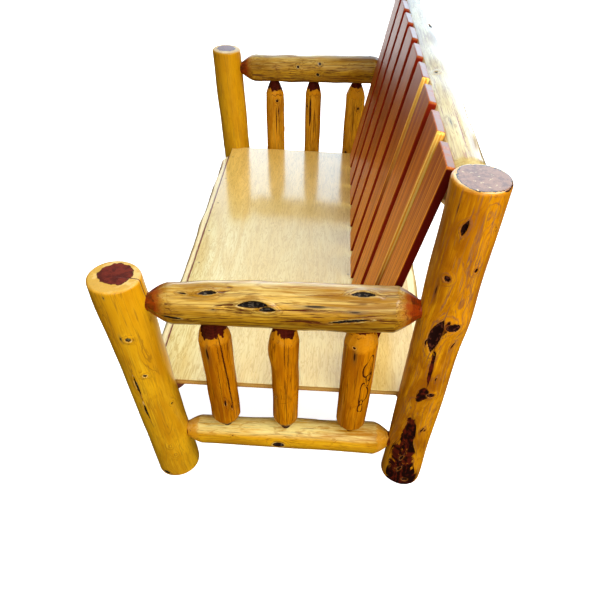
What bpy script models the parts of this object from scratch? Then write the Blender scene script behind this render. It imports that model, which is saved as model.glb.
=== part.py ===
"""Log sofa: peeled cedar logs joined by round tenons, a plywood deck and a leaning back of boards.

Metres, +Z up. The sofa stands on z = 0 and faces -Y. The origin is the middle of its floor print,
and +X is the left-hand end of someone who sits on it.
"""
import math
from dataclasses import dataclass

import bmesh
import bpy
from mathutils import Matrix, Vector

# Frame, measured between the axes of the posts at the floor
POST_SPAN_LONG = 1.46
POST_SPAN_DEEP = 0.68

# Posts
FRONT_POST_HEIGHT = 0.685
FRONT_POST_FOOT_RADIUS = 0.0587
FRONT_POST_TOP_RADIUS = 0.0561
FRONT_POST_LEAN = 0.020
BACK_POST_HEIGHT = 0.944
BACK_POST_FOOT_RADIUS = 0.0576
BACK_POST_TOP_RADIUS = 0.0539
BACK_POST_LEAN = 0.0035
POST_EDGE = 0.005
POST_HOLLOW = 0.0016

# Arm rails, which rise to the back, and lower end rails, all thicker towards the back
ARM_BELOW_POST_TOP = 0.067
ARM_RISE = 0.026
ARM_FRONT_RADIUS = 0.0475
ARM_BACK_RADIUS = 0.0495
LOWER_RAIL_HEIGHT = 0.154
LOWER_RAIL_FRONT_RADIUS = 0.0395
LOWER_RAIL_BACK_RADIUS = 0.045
END_RAIL_TENON_RADIUS = 0.021
ARM_SHOULDER = 0.058
LOWER_RAIL_SHOULDER = 0.040
RAIL_SWELL = 0.0015

# Spindles under each arm, listed from the front
SPINDLE_RADII = (0.038, 0.0335, 0.040)
SPINDLE_SHIFTS = (0.0, -0.008, -0.001)
SPINDLE_TOP_TENON_RADIUS = 0.019
SPINDLE_FOOT_TENON_RADIUS = 0.0125
SPINDLE_TOP_SHOULDER = 0.053
SPINDLE_FOOT_SHOULDER = 0.044
SPINDLE_TENON_LENGTH = 0.030

# Seat rails, planed flat on top, and the rail that the back leans on
SEAT_HEIGHT = 0.311
SEAT_RAIL_RADIUS = 0.055
SEAT_RAIL_FLAT = 0.040
TOP_RAIL_BELOW_POST_TOP = 0.074
TOP_RAIL_RADIUS = 0.053
TOP_RAIL_FLAT = 0.0412
LONG_RAIL_TENON_RADIUS = 0.023
LONG_RAIL_SHOULDER = 0.065
RAIL_TENON_LENGTH = 0.045

# Deck of one plywood sheet on crosswise joists
DECK_THICKNESS = 0.018
DECK_LAP = 0.012
DECK_SPINDLE_GAP = 0.005
DECK_POST_GAP = 0.003
JOIST_COUNT = 3
JOIST_WIDTH = 0.038
JOIST_HEIGHT = 0.089
JOIST_END_INSET = 0.018

# Back boards and the cleat that holds their feet
SLAT_COUNT = 9
SLAT_WIDTH = 0.114
SLAT_THICKNESS = 0.019
SLAT_FOOT_SETBACK = 0.173
SLAT_ABOVE_RAIL = 0.058
SLAT_POST_GAP = 0.006
SLAT_CORNER = 0.006
SLAT_EDGE = 0.0025
CLEAT_SIZE = 0.038

# Fits and mesh fineness
CLEARANCE = 0.0003
TENON_ROOM = 0.002
WELD = 0.00001
POST_SIDES = 24
RAIL_SIDES = 20
SPINDLE_SIDES = 16
POST_RINGS = 7
RAIL_RINGS = 6
SHOULDER_RINGS = 4
NOTCH_SIDES = 32
CORNER_STEPS = 3
EDGE_STEPS = 2
SMOOTH_ANGLE = math.radians(35)

# Turns that lay a log's own +Z along a world axis
ALONG_X = Matrix.Rotation(math.radians(90), 4, "Y")
ALONG_Z = Matrix.Identity(4)

# Places that follow from the sizes above
END_X = POST_SPAN_LONG / 2
FRONT_TOP_LEAN = FRONT_POST_LEAN * (FRONT_POST_HEIGHT - POST_EDGE) / FRONT_POST_HEIGHT
FRONT_REACH = max(FRONT_POST_FOOT_RADIUS, FRONT_TOP_LEAN + FRONT_POST_TOP_RADIUS)
DEPTH = FRONT_REACH + POST_SPAN_DEEP + BACK_POST_FOOT_RADIUS
FRONT_Y = FRONT_REACH - DEPTH / 2
BACK_Y = FRONT_Y + POST_SPAN_DEEP


def front_axis(height):
    """Return the front posts' axis in Y at a height, leaning forward as they rise."""
    return FRONT_Y - FRONT_POST_LEAN * height / FRONT_POST_HEIGHT


def back_axis(height):
    """Return the back posts' axis in Y at a height, leaning forward a little as they rise."""
    return BACK_Y - BACK_POST_LEAN * height / BACK_POST_HEIGHT


ARM_FRONT_HEIGHT = FRONT_POST_HEIGHT - ARM_BELOW_POST_TOP
ARM_BACK_HEIGHT = ARM_FRONT_HEIGHT + ARM_RISE
ARM_FRONT_Y = front_axis(ARM_FRONT_HEIGHT)
ARM_SLOPE = ARM_RISE / (back_axis(ARM_BACK_HEIGHT) - ARM_FRONT_Y)
DECK_UNDERSIDE = SEAT_HEIGHT - DECK_THICKNESS
SEAT_FLAT_HEIGHT = DECK_UNDERSIDE - CLEARANCE
SEAT_RAIL_HEIGHT = SEAT_FLAT_HEIGHT - SEAT_RAIL_FLAT
TOP_RAIL_HEIGHT = BACK_POST_HEIGHT - TOP_RAIL_BELOW_POST_TOP
SEAT_FRONT_Y = front_axis(SEAT_RAIL_HEIGHT)
SEAT_BACK_Y = back_axis(SEAT_RAIL_HEIGHT)
TOP_RAIL_Y = back_axis(TOP_RAIL_HEIGHT)
SLAT_FOOT_Y = TOP_RAIL_Y - SLAT_FOOT_SETBACK
SLAT_FOOT_HEIGHT = SEAT_HEIGHT + CLEARANCE
DECK_END_X = END_X - max(SPINDLE_RADII) - DECK_SPINDLE_GAP
SLATS_END_X = END_X - BACK_POST_FOOT_RADIUS - SLAT_POST_GAP


def front_post_radius(height):
    """Return the front posts' radius at a height."""
    share = height / FRONT_POST_HEIGHT
    return FRONT_POST_FOOT_RADIUS + (FRONT_POST_TOP_RADIUS - FRONT_POST_FOOT_RADIUS) * share


def back_post_radius(height):
    """Return the back posts' radius at a height."""
    share = height / BACK_POST_HEIGHT
    return BACK_POST_FOOT_RADIUS + (BACK_POST_TOP_RADIUS - BACK_POST_FOOT_RADIUS) * share


@dataclass(frozen=True)
class TenonedLog:
    """A peeled log along its own +Z, shaved at both ends to a shoulder and a round tenon.

    low and high are where the shoulders meet their neighbours, and each pair runs from low to high.
    """

    low: float
    high: float
    radii: tuple
    tenon_radii: tuple
    shoulders: tuple
    tenon_length: float
    swell: float
    waves: float
    sides: int

    def body_radius(self, place):
        """Return the log's radius at a place on its length, with its slow natural swell."""
        start = self.low + self.shoulders[0]
        share = (place - start) / (self.high - self.shoulders[1] - start)
        taper = self.radii[0] + (self.radii[1] - self.radii[0]) * share
        fade = math.sin(math.pi * min(max(share, 0.0), 1.0))
        return taper + self.swell * fade * math.sin(2 * math.pi * self.waves * share)

    def profile(self):
        """Return the outline as (radius, place) pairs from the high end to the low end."""
        start = self.low + self.shoulders[0]
        end = self.high - self.shoulders[1]
        points = [(0.0, self.low - self.tenon_length)]
        points.append((self.tenon_radii[0], self.low - self.tenon_length))
        for ring in range(SHOULDER_RINGS):
            share = ring / SHOULDER_RINGS
            radius = shaved(self.tenon_radii[0], self.radii[0], share)
            points.append((radius, self.low + self.shoulders[0] * share))
        for ring in range(RAIL_RINGS + 1):
            place = start + (end - start) * ring / RAIL_RINGS
            points.append((self.body_radius(place), place))
        for ring in reversed(range(SHOULDER_RINGS)):
            share = ring / SHOULDER_RINGS
            radius = shaved(self.tenon_radii[1], self.radii[1], share)
            points.append((radius, self.high - self.shoulders[1] * share))
        points.append((self.tenon_radii[1], self.high + self.tenon_length))
        points.append((0.0, self.high + self.tenon_length))
        return points[::-1]

    def mortise_profile(self, end):
        """Return the outline of the hole for the low (0) or high (1) tenon, from its top down."""
        radius = self.tenon_radii[end] + CLEARANCE
        if end == 0:
            top = self.low + self.shoulders[0]
            bottom = self.low - self.tenon_length - TENON_ROOM
        else:
            top = self.high + self.tenon_length + TENON_ROOM
            bottom = self.high - self.shoulders[1]
        return [(0.0, top), (radius, top), (radius, bottom), (0.0, bottom)]


def shaved(tenon_radius, log_radius, share):
    """Return the radius along a shaved shoulder, steep at the tenon and easing into the log."""
    opening = 0.5 * (share + math.sin(0.5 * math.pi * share))
    return tenon_radius + (log_radius - tenon_radius) * opening


def clear_scene():
    """Remove every object that is already in the scene."""
    for item in list(bpy.data.objects):
        bpy.data.objects.remove(item, do_unlink=True)


def new_collection(name):
    """Add an empty collection to the scene."""
    collection = bpy.data.collections.new(name)
    bpy.context.scene.collection.children.link(collection)
    return collection


def wood(name, colour, roughness):
    """Return a varnished wood material."""
    material = bpy.data.materials.new(name)
    material.use_nodes = True
    shader = material.node_tree.nodes["Principled BSDF"]
    shader.inputs["Base Color"].default_value = (*colour, 1.0)
    shader.inputs["Roughness"].default_value = roughness
    shader.inputs["Metallic"].default_value = 0.0
    return material


def turned_mesh(name, profile, sides):
    """Return the mesh of a (radius, height) outline, listed from the top down, turned about Z."""
    outline = bmesh.new()
    points = [outline.verts.new((radius, 0.0, height)) for radius, height in profile]
    for upper, lower in zip(points, points[1:]):
        outline.edges.new((upper, lower))
    flat = bpy.data.meshes.new(name + "_outline")
    outline.to_mesh(flat)
    outline.free()
    blank = bpy.data.objects.new(name + "_blank", flat)
    bpy.context.scene.collection.objects.link(blank)
    turn = blank.modifiers.new("turn", "SCREW")
    turn.steps = sides
    turn.render_steps = sides
    turn.use_merge_vertices = True
    turn.merge_threshold = WELD
    evaluated = blank.evaluated_get(bpy.context.evaluated_depsgraph_get())
    mesh = bpy.data.meshes.new_from_object(evaluated)
    mesh.name = name
    bpy.data.objects.remove(blank)
    bpy.data.meshes.remove(flat)
    return mesh


def block_mesh(name, low, high):
    """Return the mesh of a box between two corners."""
    shape = bmesh.new()
    bmesh.ops.create_cube(shape, size=1.0)
    size = Vector(high) - Vector(low)
    middle = (Vector(high) + Vector(low)) / 2
    placing = Matrix.Translation(middle) @ Matrix.Diagonal((*size, 1.0))
    bmesh.ops.transform(shape, matrix=placing, verts=shape.verts)
    mesh = bpy.data.meshes.new(name)
    shape.to_mesh(mesh)
    shape.free()
    return mesh


class Workshop:
    """The sofa's collections, and the steps that put parts and cutters into them."""

    def __init__(self):
        """Make the collections and the empty that carries every part."""
        self.parts = new_collection("log_sofa")
        self.cutters = new_collection("log_sofa_cutters")
        self.floor = bpy.data.objects.new("floor_middle", None)
        self.parts.objects.link(self.floor)

    def part(self, name, mesh, material, turn=ALONG_Z, place=(0.0, 0.0, 0.0)):
        """Add a finished part, smooth where its faces meet at a low angle."""
        mesh.shade_smooth()
        mesh.set_sharp_from_angle(angle=SMOOTH_ANGLE)
        mesh.materials.append(material)
        item = bpy.data.objects.new(name, mesh)
        item.matrix_world = Matrix.Translation(place) @ turn
        self.parts.objects.link(item)
        item.parent = self.floor
        return item

    def cutter(self, name, mesh, turn=ALONG_Z, place=(0.0, 0.0, 0.0)):
        """Add a shape that only cuts others."""
        item = bpy.data.objects.new(name, mesh)
        item.matrix_world = Matrix.Translation(place) @ turn
        item.hide_render = True
        item.display_type = "WIRE"
        self.cutters.objects.link(item)
        return item

    def cut(self, item, cutter):
        """Take a cutter's shape out of a part."""
        step = item.modifiers.new(cutter.name, "BOOLEAN")
        step.operation = "DIFFERENCE"
        step.solver = "EXACT"
        step.object = cutter

    def log(self, name, log, material, turn, place, seats):
        """Add a tenoned log and bore each seat, the part that takes its low and then its high tenon."""
        item = self.part(name, turned_mesh(name, log.profile(), log.sides), material, turn, place)
        for end, seat in enumerate(seats):
            bore = turned_mesh(name + "_mortise", log.mortise_profile(end), log.sides)
            self.cut(seat, self.cutter(f"{name}_mortise_{end}", bore, turn, place))
        return item


def post_mesh(name, height, foot_radius, top_radius, lean, waves):
    """Return a post's mesh: tapered, gently hollowed between its ends, eased at both and leaning forward."""
    low = POST_EDGE
    high = height - POST_EDGE
    points = [(0.0, 0.0), (foot_radius - POST_EDGE, 0.0)]
    for ring in range(POST_RINGS + 1):
        share = ring / POST_RINGS
        hollow = POST_HOLLOW * math.sin(math.pi * share) * math.sin(math.pi * waves * share) ** 2
        points.append((foot_radius + (top_radius - foot_radius) * share - hollow, low + (high - low) * share))
    points.append((top_radius - POST_EDGE, height))
    points.append((0.0, height))
    mesh = turned_mesh(name, points[::-1], POST_SIDES)
    mesh.transform(Matrix(((1, 0, 0, 0), (0, 1, -lean / height, 0), (0, 0, 1, 0), (0, 0, 0, 1))))
    return mesh


def build_posts(shop, material):
    """Add the four posts, and return them by row and end."""
    posts = {}
    for end, side in (("left", 1), ("right", -1)):
        name = "front_post_" + end
        mesh = post_mesh(name, FRONT_POST_HEIGHT, FRONT_POST_FOOT_RADIUS, FRONT_POST_TOP_RADIUS,
                         FRONT_POST_LEAN, 2)
        posts["front", end] = shop.part(name, mesh, material, place=(side * END_X, FRONT_Y, 0.0))
        name = "back_post_" + end
        mesh = post_mesh(name, BACK_POST_HEIGHT, BACK_POST_FOOT_RADIUS, BACK_POST_TOP_RADIUS,
                         BACK_POST_LEAN, 3)
        posts["back", end] = shop.part(name, mesh, material, place=(side * END_X, BACK_Y, 0.0))
    return posts


def end_rail(front_height, back_height, radii, shoulder, waves):
    """Return an end rail measured from a front post's axis to a back post's, and the turn that lays it."""
    run = back_axis(back_height) - front_axis(front_height)
    rise = back_height - front_height
    tilt_room = END_RAIL_TENON_RADIUS * rise / run
    rail = TenonedLog(
        low=front_post_radius(front_height) + CLEARANCE,
        high=math.hypot(run, rise) - back_post_radius(back_height) - tilt_room - CLEARANCE,
        radii=radii,
        tenon_radii=(END_RAIL_TENON_RADIUS, END_RAIL_TENON_RADIUS),
        shoulders=(shoulder, shoulder),
        tenon_length=RAIL_TENON_LENGTH,
        swell=RAIL_SWELL,
        waves=waves,
        sides=RAIL_SIDES,
    )
    return rail, Matrix.Rotation(math.atan2(rise, run) - math.radians(90), 4, "X")


def build_end_frame(shop, end, side, posts, rail_wood, spindle_wood):
    """Add one end's arm rail, lower rail and spindles."""
    x = side * END_X
    seats = (posts["front", end], posts["back", end])
    arm_radii = (ARM_FRONT_RADIUS, ARM_BACK_RADIUS)
    arm, rising = end_rail(ARM_FRONT_HEIGHT, ARM_BACK_HEIGHT, arm_radii, ARM_SHOULDER, 1.5)
    arm_start = Vector((x, ARM_FRONT_Y, ARM_FRONT_HEIGHT))
    arm_item = shop.log("arm_rail_" + end, arm, rail_wood, rising, arm_start, seats)
    lower_radii = (LOWER_RAIL_FRONT_RADIUS, LOWER_RAIL_BACK_RADIUS)
    lower, level = end_rail(LOWER_RAIL_HEIGHT, LOWER_RAIL_HEIGHT, lower_radii, LOWER_RAIL_SHOULDER, 1.0)
    lower_start = Vector((x, front_axis(LOWER_RAIL_HEIGHT), LOWER_RAIL_HEIGHT))
    lower_item = shop.log("lower_end_rail_" + end, lower, rail_wood, level, lower_start, seats)
    step = POST_SPAN_DEEP / (len(SPINDLE_RADII) + 1)
    for number, (radius, shift) in enumerate(zip(SPINDLE_RADII, SPINDLE_SHIFTS), start=1):
        y = FRONT_Y + step * number + shift
        lowest = y - SPINDLE_TOP_TENON_RADIUS - ARM_FRONT_Y
        arm_underside = ARM_FRONT_HEIGHT + ARM_SLOPE * lowest - arm.body_radius(lowest)
        spindle = TenonedLog(
            low=LOWER_RAIL_HEIGHT + lower.body_radius(y - lower_start.y) + CLEARANCE,
            high=arm_underside - CLEARANCE,
            radii=(radius, radius),
            tenon_radii=(SPINDLE_FOOT_TENON_RADIUS, SPINDLE_TOP_TENON_RADIUS),
            shoulders=(SPINDLE_FOOT_SHOULDER, SPINDLE_TOP_SHOULDER),
            tenon_length=SPINDLE_TENON_LENGTH,
            swell=RAIL_SWELL / 2,
            waves=number / 2,
            sides=SPINDLE_SIDES,
        )
        place = (x, y, 0.0)
        shop.log(f"spindle_{end}_{number}", spindle, spindle_wood, ALONG_Z, place, (lower_item, arm_item))


def long_rail(radius, post_radius, waves):
    """Return a rail along the sofa between two posts, measured from the right-hand posts' axis."""
    return TenonedLog(
        low=post_radius + CLEARANCE,
        high=POST_SPAN_LONG - post_radius - CLEARANCE,
        radii=(radius, radius),
        tenon_radii=(LONG_RAIL_TENON_RADIUS, LONG_RAIL_TENON_RADIUS),
        shoulders=(LONG_RAIL_SHOULDER, LONG_RAIL_SHOULDER),
        tenon_length=RAIL_TENON_LENGTH,
        swell=RAIL_SWELL,
        waves=waves,
        sides=RAIL_SIDES,
    )


def plane_rail(shop, rail, radius, flat, turn, place):
    """Plane a long rail to a flat at a distance from its axis, on the side that turn's +Z points to."""
    spare = 2 * (radius + RAIL_SWELL)
    low = (-POST_SPAN_LONG, -spare, flat)
    waste = block_mesh(rail.name + "_waste", low, (POST_SPAN_LONG, spare, spare))
    shop.cut(rail, shop.cutter(rail.name + "_waste", waste, turn, place))


def build_long_rails(shop, posts, material, lean):
    """Add the seat rails and the back's top rail, and return the seat rails, front one first."""
    seat_rails = []
    for name, row, y, post_radius, waves in (
        ("front_seat_rail", "front", SEAT_FRONT_Y, front_post_radius(SEAT_RAIL_HEIGHT), 2.0),
        ("rear_seat_rail", "back", SEAT_BACK_Y, back_post_radius(SEAT_RAIL_HEIGHT), 2.5),
    ):
        rail = long_rail(SEAT_RAIL_RADIUS, post_radius, waves)
        place = (-END_X, y, SEAT_RAIL_HEIGHT)
        item = shop.log(name, rail, material, ALONG_X, place, (posts[row, "right"], posts[row, "left"]))
        plane_rail(shop, item, SEAT_RAIL_RADIUS, SEAT_RAIL_FLAT, ALONG_Z, (0.0, y, SEAT_RAIL_HEIGHT))
        seat_rails.append(item)
    rail = long_rail(TOP_RAIL_RADIUS, back_post_radius(TOP_RAIL_HEIGHT), 1.5)
    place = (-END_X, TOP_RAIL_Y, TOP_RAIL_HEIGHT)
    seats = (posts["back", "right"], posts["back", "left"])
    item = shop.log("back_top_rail", rail, material, ALONG_X, place, seats)
    facing = Matrix.Rotation(math.radians(90) - lean, 4, "X")
    plane_rail(shop, item, TOP_RAIL_RADIUS, TOP_RAIL_FLAT, facing, (0.0, TOP_RAIL_Y, TOP_RAIL_HEIGHT))
    return seat_rails


def back_lean():
    """Return the angle at which a board from its foot on the deck meets the top rail's flat."""
    rise = TOP_RAIL_HEIGHT - SLAT_FOOT_HEIGHT
    to_axis = math.hypot(SLAT_FOOT_SETBACK, rise)
    off_axis = TOP_RAIL_FLAT + CLEARANCE + SLAT_THICKNESS
    return math.atan2(SLAT_FOOT_SETBACK, rise) - math.asin(off_axis / to_axis)


def build_deck(shop, seat_rails, ply, lumber):
    """Add the joists, housed in the seat rails, and the deck panel, notched round the posts."""
    joist_low_z = SEAT_FLAT_HEIGHT - JOIST_HEIGHT
    for number in range(1, JOIST_COUNT + 1):
        x = DECK_END_X * (1 - 2 * number / (JOIST_COUNT + 1))
        low = Vector((x - JOIST_WIDTH / 2, SEAT_FRONT_Y + JOIST_END_INSET, joist_low_z))
        high = Vector((x + JOIST_WIDTH / 2, SEAT_BACK_Y - JOIST_END_INSET, SEAT_FLAT_HEIGHT))
        name = f"seat_joist_{number}"
        shop.part(name, block_mesh(name, low, high), lumber)
        room = Vector((CLEARANCE, CLEARANCE, CLEARANCE))
        above = Vector((0.0, 0.0, SEAT_RAIL_RADIUS))
        housing = block_mesh(name + "_housing", low - room, high + room + above)
        cutter = shop.cutter(name + "_housing", housing)
        for rail in seat_rails:
            shop.cut(rail, cutter)
    name = "deck_panel"
    low = (-DECK_END_X, SEAT_FRONT_Y - DECK_LAP, DECK_UNDERSIDE)
    high = (DECK_END_X, SEAT_BACK_Y + DECK_LAP, SEAT_HEIGHT)
    panel = shop.part(name, block_mesh(name, low, high), ply)
    for row, y, radius in (
        ("front", front_axis(SEAT_HEIGHT), front_post_radius(DECK_UNDERSIDE)),
        ("back", back_axis(SEAT_HEIGHT), back_post_radius(DECK_UNDERSIDE)),
    ):
        reach = radius + DECK_POST_GAP
        top = SEAT_HEIGHT + DECK_THICKNESS
        bottom = DECK_UNDERSIDE - DECK_THICKNESS
        outline = [(0.0, top), (reach, top), (reach, bottom), (0.0, bottom)]
        for end, side in (("left", 1), ("right", -1)):
            notch = turned_mesh(f"{row}_{end}_notch", outline, NOTCH_SIDES)
            shop.cut(panel, shop.cutter(f"{row}_{end}_notch", notch, place=(side * END_X, y, 0.0)))


def round_edges(shape, edges, width, steps):
    """Round some edges of a mesh in the making."""
    bmesh.ops.bevel(shape, geom=edges, offset=width, segments=steps, profile=0.5, affect="EDGES")


def is_across(edge):
    """Tell whether an edge runs through a board from its front face to its back."""
    return abs(edge.verts[0].co.y - edge.verts[1].co.y) > SLAT_THICKNESS / 2


def slat_mesh(name, length, lean):
    """Return a back board along its own +Z with its front face on y = 0 and its foot cut level."""
    shape = bmesh.new()
    bmesh.ops.create_cube(shape, size=1.0)
    spare = SLAT_THICKNESS
    size = Matrix.Diagonal((SLAT_WIDTH, SLAT_THICKNESS, length + spare, 1.0))
    middle = Matrix.Translation((0.0, SLAT_THICKNESS / 2, (length - spare) / 2))
    bmesh.ops.transform(shape, matrix=middle @ size, verts=shape.verts)
    upper = [edge for edge in shape.edges if all(corner.co.z > 0 for corner in edge.verts)]
    round_edges(shape, [edge for edge in upper if is_across(edge)], SLAT_CORNER, CORNER_STEPS)
    rims = [edge for edge in shape.edges if edge.calc_face_angle(0.0) > SMOOTH_ANGLE]
    round_edges(shape, rims, SLAT_EDGE, EDGE_STEPS)
    level = Matrix.Rotation(lean, 3, "X") @ Vector((0.0, 0.0, 1.0))
    cut = bmesh.ops.bisect_plane(shape, geom=shape.verts[:] + shape.edges[:] + shape.faces[:],
                                 plane_co=(0.0, 0.0, 0.0), plane_no=level, clear_inner=True)
    rim = [piece for piece in cut["geom_cut"] if isinstance(piece, bmesh.types.BMEdge)]
    bmesh.ops.edgeloop_fill(shape, edges=rim)
    bmesh.ops.recalc_face_normals(shape, faces=shape.faces)
    mesh = bpy.data.meshes.new(name)
    shape.to_mesh(mesh)
    shape.free()
    return mesh


def build_slats(shop, lean, material):
    """Add the leaning back boards."""
    leaning = Matrix.Rotation(-lean, 4, "X")
    length = (TOP_RAIL_HEIGHT + SLAT_ABOVE_RAIL - SLAT_FOOT_HEIGHT) / math.cos(lean)
    first = SLATS_END_X - SLAT_WIDTH / 2
    step = 2 * first / (SLAT_COUNT - 1)
    for number in range(SLAT_COUNT):
        name = f"back_slat_{number + 1}"
        place = (first - step * number, SLAT_FOOT_Y, SLAT_FOOT_HEIGHT)
        shop.part(name, slat_mesh(name, length, lean), material, leaning, place)


def build_cleat(shop, lean, material):
    """Add the cleat on the deck behind the boards' feet, its front planed to their lean."""
    behind = SLAT_FOOT_Y + (SLAT_THICKNESS + CLEARANCE) / math.cos(lean)
    low = Vector((-SLATS_END_X, behind, SLAT_FOOT_HEIGHT))
    high = Vector((SLATS_END_X, behind + CLEAT_SIZE, SLAT_FOOT_HEIGHT + CLEAT_SIZE))
    mesh = block_mesh("slat_cleat", low, high)
    middle = (low + high) / 2
    for corner in mesh.vertices:
        if corner.co.z > middle.z and corner.co.y < middle.y:
            corner.co.y += CLEAT_SIZE * math.tan(lean)
    shop.part("slat_cleat", mesh, material)


def main():
    """Build the whole sofa."""
    clear_scene()
    post_wood = wood("varnished_post_log", (0.62, 0.36, 0.06), 0.25)
    rail_wood = wood("varnished_rail_log", (0.68, 0.46, 0.14), 0.25)
    spindle_wood = wood("varnished_spindle_log", (0.62, 0.31, 0.04), 0.25)
    ply = wood("birch_plywood", (0.86, 0.74, 0.50), 0.30)
    slat_wood = wood("red_cedar_board", (0.40, 0.15, 0.06), 0.30)
    lumber = wood("plain_lumber", (0.72, 0.55, 0.33), 0.60)
    shop = Workshop()
    lean = back_lean()
    posts = build_posts(shop, post_wood)
    for end, side in (("left", 1), ("right", -1)):
        build_end_frame(shop, end, side, posts, rail_wood, spindle_wood)
    seat_rails = build_long_rails(shop, posts, rail_wood, lean)
    build_deck(shop, seat_rails, ply, lumber)
    build_slats(shop, lean, slat_wood)
    build_cleat(shop, lean, lumber)


main()
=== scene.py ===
"""Looks of the log sofa: peeled and varnished logs, a plywood deck and a back of red cedar boards."""

import logging
import math
from dataclasses import dataclass, field, replace
from enum import Enum

import bmesh
import bpy
import numpy as np
from mathutils import Matrix, Vector


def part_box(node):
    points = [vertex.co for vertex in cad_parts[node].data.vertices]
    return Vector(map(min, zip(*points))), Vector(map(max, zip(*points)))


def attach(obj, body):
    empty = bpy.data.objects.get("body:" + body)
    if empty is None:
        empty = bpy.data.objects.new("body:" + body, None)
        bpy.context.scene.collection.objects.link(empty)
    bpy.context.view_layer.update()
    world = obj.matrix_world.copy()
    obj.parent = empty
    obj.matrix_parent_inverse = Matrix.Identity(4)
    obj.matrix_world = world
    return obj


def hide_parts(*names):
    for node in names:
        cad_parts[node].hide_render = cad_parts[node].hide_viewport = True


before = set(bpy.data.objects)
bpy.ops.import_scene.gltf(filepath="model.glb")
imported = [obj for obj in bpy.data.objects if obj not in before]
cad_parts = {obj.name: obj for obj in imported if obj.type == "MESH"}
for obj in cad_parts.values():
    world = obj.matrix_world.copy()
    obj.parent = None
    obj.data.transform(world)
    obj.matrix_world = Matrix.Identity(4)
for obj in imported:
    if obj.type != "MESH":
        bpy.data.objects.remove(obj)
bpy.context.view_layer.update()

LOG = logging.getLogger("log_sofa")
BODY = "root"
TURN = 2 * math.pi
WHITE = (1.0, 1.0, 1.0)

# How finely the pieces are made.
LEAST_SIDES = 24  # sides of the thinnest log
FOOT_STEP = 1.5  # how much coarser a post's hidden foot is
EASED_BENDS = tuple(math.radians(angle) for angle in (18, 36, 54, 72, 90))  # rings of an eased rim
FLAT_BEND = math.radians(1)  # CAD faces that meet at less are one

# Lengths in metres.
WELD = 0.00001  # vertices nearer than this are one
END_RING = 0.004  # how far from a log's end its last CAD ring may lie
RING_SLACK = 0.002  # how far from a place a CAD ring still counts as the ring there
FAR = 0.05  # distance to a mark where there is none
CRACK_REACH = 0.006  # how far beside a crack its distance is kept
CRACK_TROUGH = 0.0024  # half width of the trough round a crack
EYE_CRACK = 0.0011  # half width of the crack that runs through an eye
SCAR_SCALE = 0.012  # half width to which every scar's distance is scaled
SEED_OFFSET = 3.0  # between the grain patterns of one seed and the next
STRAY_MARGIN = 0.08  # room that seeded marks leave at a log's ends
SWELLING_WAVES = (0.18, 0.55)  # shortest and longest wave of the natural swellings
TENON_STEP = 0.02  # between the rings of a hidden tenon
MOUTH = (0.006, 0.004)  # how deep in the mortise the tenon's rings end and the shoulder's begin
FACET_EDGE = 0.006  # height over the tenon at which the knife cuts are full
PLANED_EDGE = 0.0006  # planed depth at which the wood counts as cut
SCREW_STAND = 0.0003  # height of a screw's rim over the deck

# Shares and turns of the natural forms.
WANDER_WAVES = (260.0, 97.0)  # radians per metre of a crack's quick and slow meander
SWELLINGS = ((1, 0.6), (1, 0.6), (2, 1.0), (2, 0.8), (3, 0.7), (4, 0.5), (5, 0.35), (7, 0.25))  # lobes, size
SWELLING_SHARE = 0.7
KNIFE_WIDTHS = (0.75, 1.25)
FACET_FLAT = 0.992  # share of the shoulder's radius in a knife cut's middle
FACET_HALF = 0.32  # radians from a knife cut's middle to its edge, at most
EYE_BELLY = 0.35  # how far an eye bulges to one side, in half widths
EYE_CRACK_RUN = 1.9  # length of the crack through an eye, in eye lengths
LIP = (0.4, 1.4)  # height of the lip round a hollow in depths, and its width in half widths
RING_DIP = (0.006, 1.6)  # metres that the rings dip round a hollow, and how wide in half widths
SWELL_RINGS = (0.8, 1.3)  # how far the rings follow a swelling, and how much narrower they do
LOOP_LOBES = (0.20, 3, 40)  # size and number of a loop's lobes, and their turn per metre of the log
GRAIN_REACH = 6  # half widths round a mark within which the grain bends

Colour = tuple[float, float, float]


class Tap:
    """A shader socket that takes part in Python arithmetic: each operator adds a Math node."""

    def __init__(self, nodes: "Nodes", socket: bpy.types.NodeSocket) -> None:
        """Keep the socket and the node tree that it belongs to."""
        self.nodes = nodes
        self.socket = socket

    def __add__(self, other: "Number") -> "Tap":
        """Return self + other."""
        return self.nodes.math("ADD", self, other)

    def __radd__(self, other: "Number") -> "Tap":
        """Return other + self."""
        return self.nodes.math("ADD", other, self)

    def __sub__(self, other: "Number") -> "Tap":
        """Return self - other."""
        return self.nodes.math("SUBTRACT", self, other)

    def __rsub__(self, other: "Number") -> "Tap":
        """Return other - self."""
        return self.nodes.math("SUBTRACT", other, self)

    def __mul__(self, other: "Number") -> "Tap":
        """Return self * other."""
        return self.nodes.math("MULTIPLY", self, other)

    def __rmul__(self, other: "Number") -> "Tap":
        """Return other * self."""
        return self.nodes.math("MULTIPLY", other, self)

    def __abs__(self) -> "Tap":
        """Return the size of self without its sign."""
        return self.nodes.math("ABSOLUTE", self)


Number = Tap | float


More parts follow.
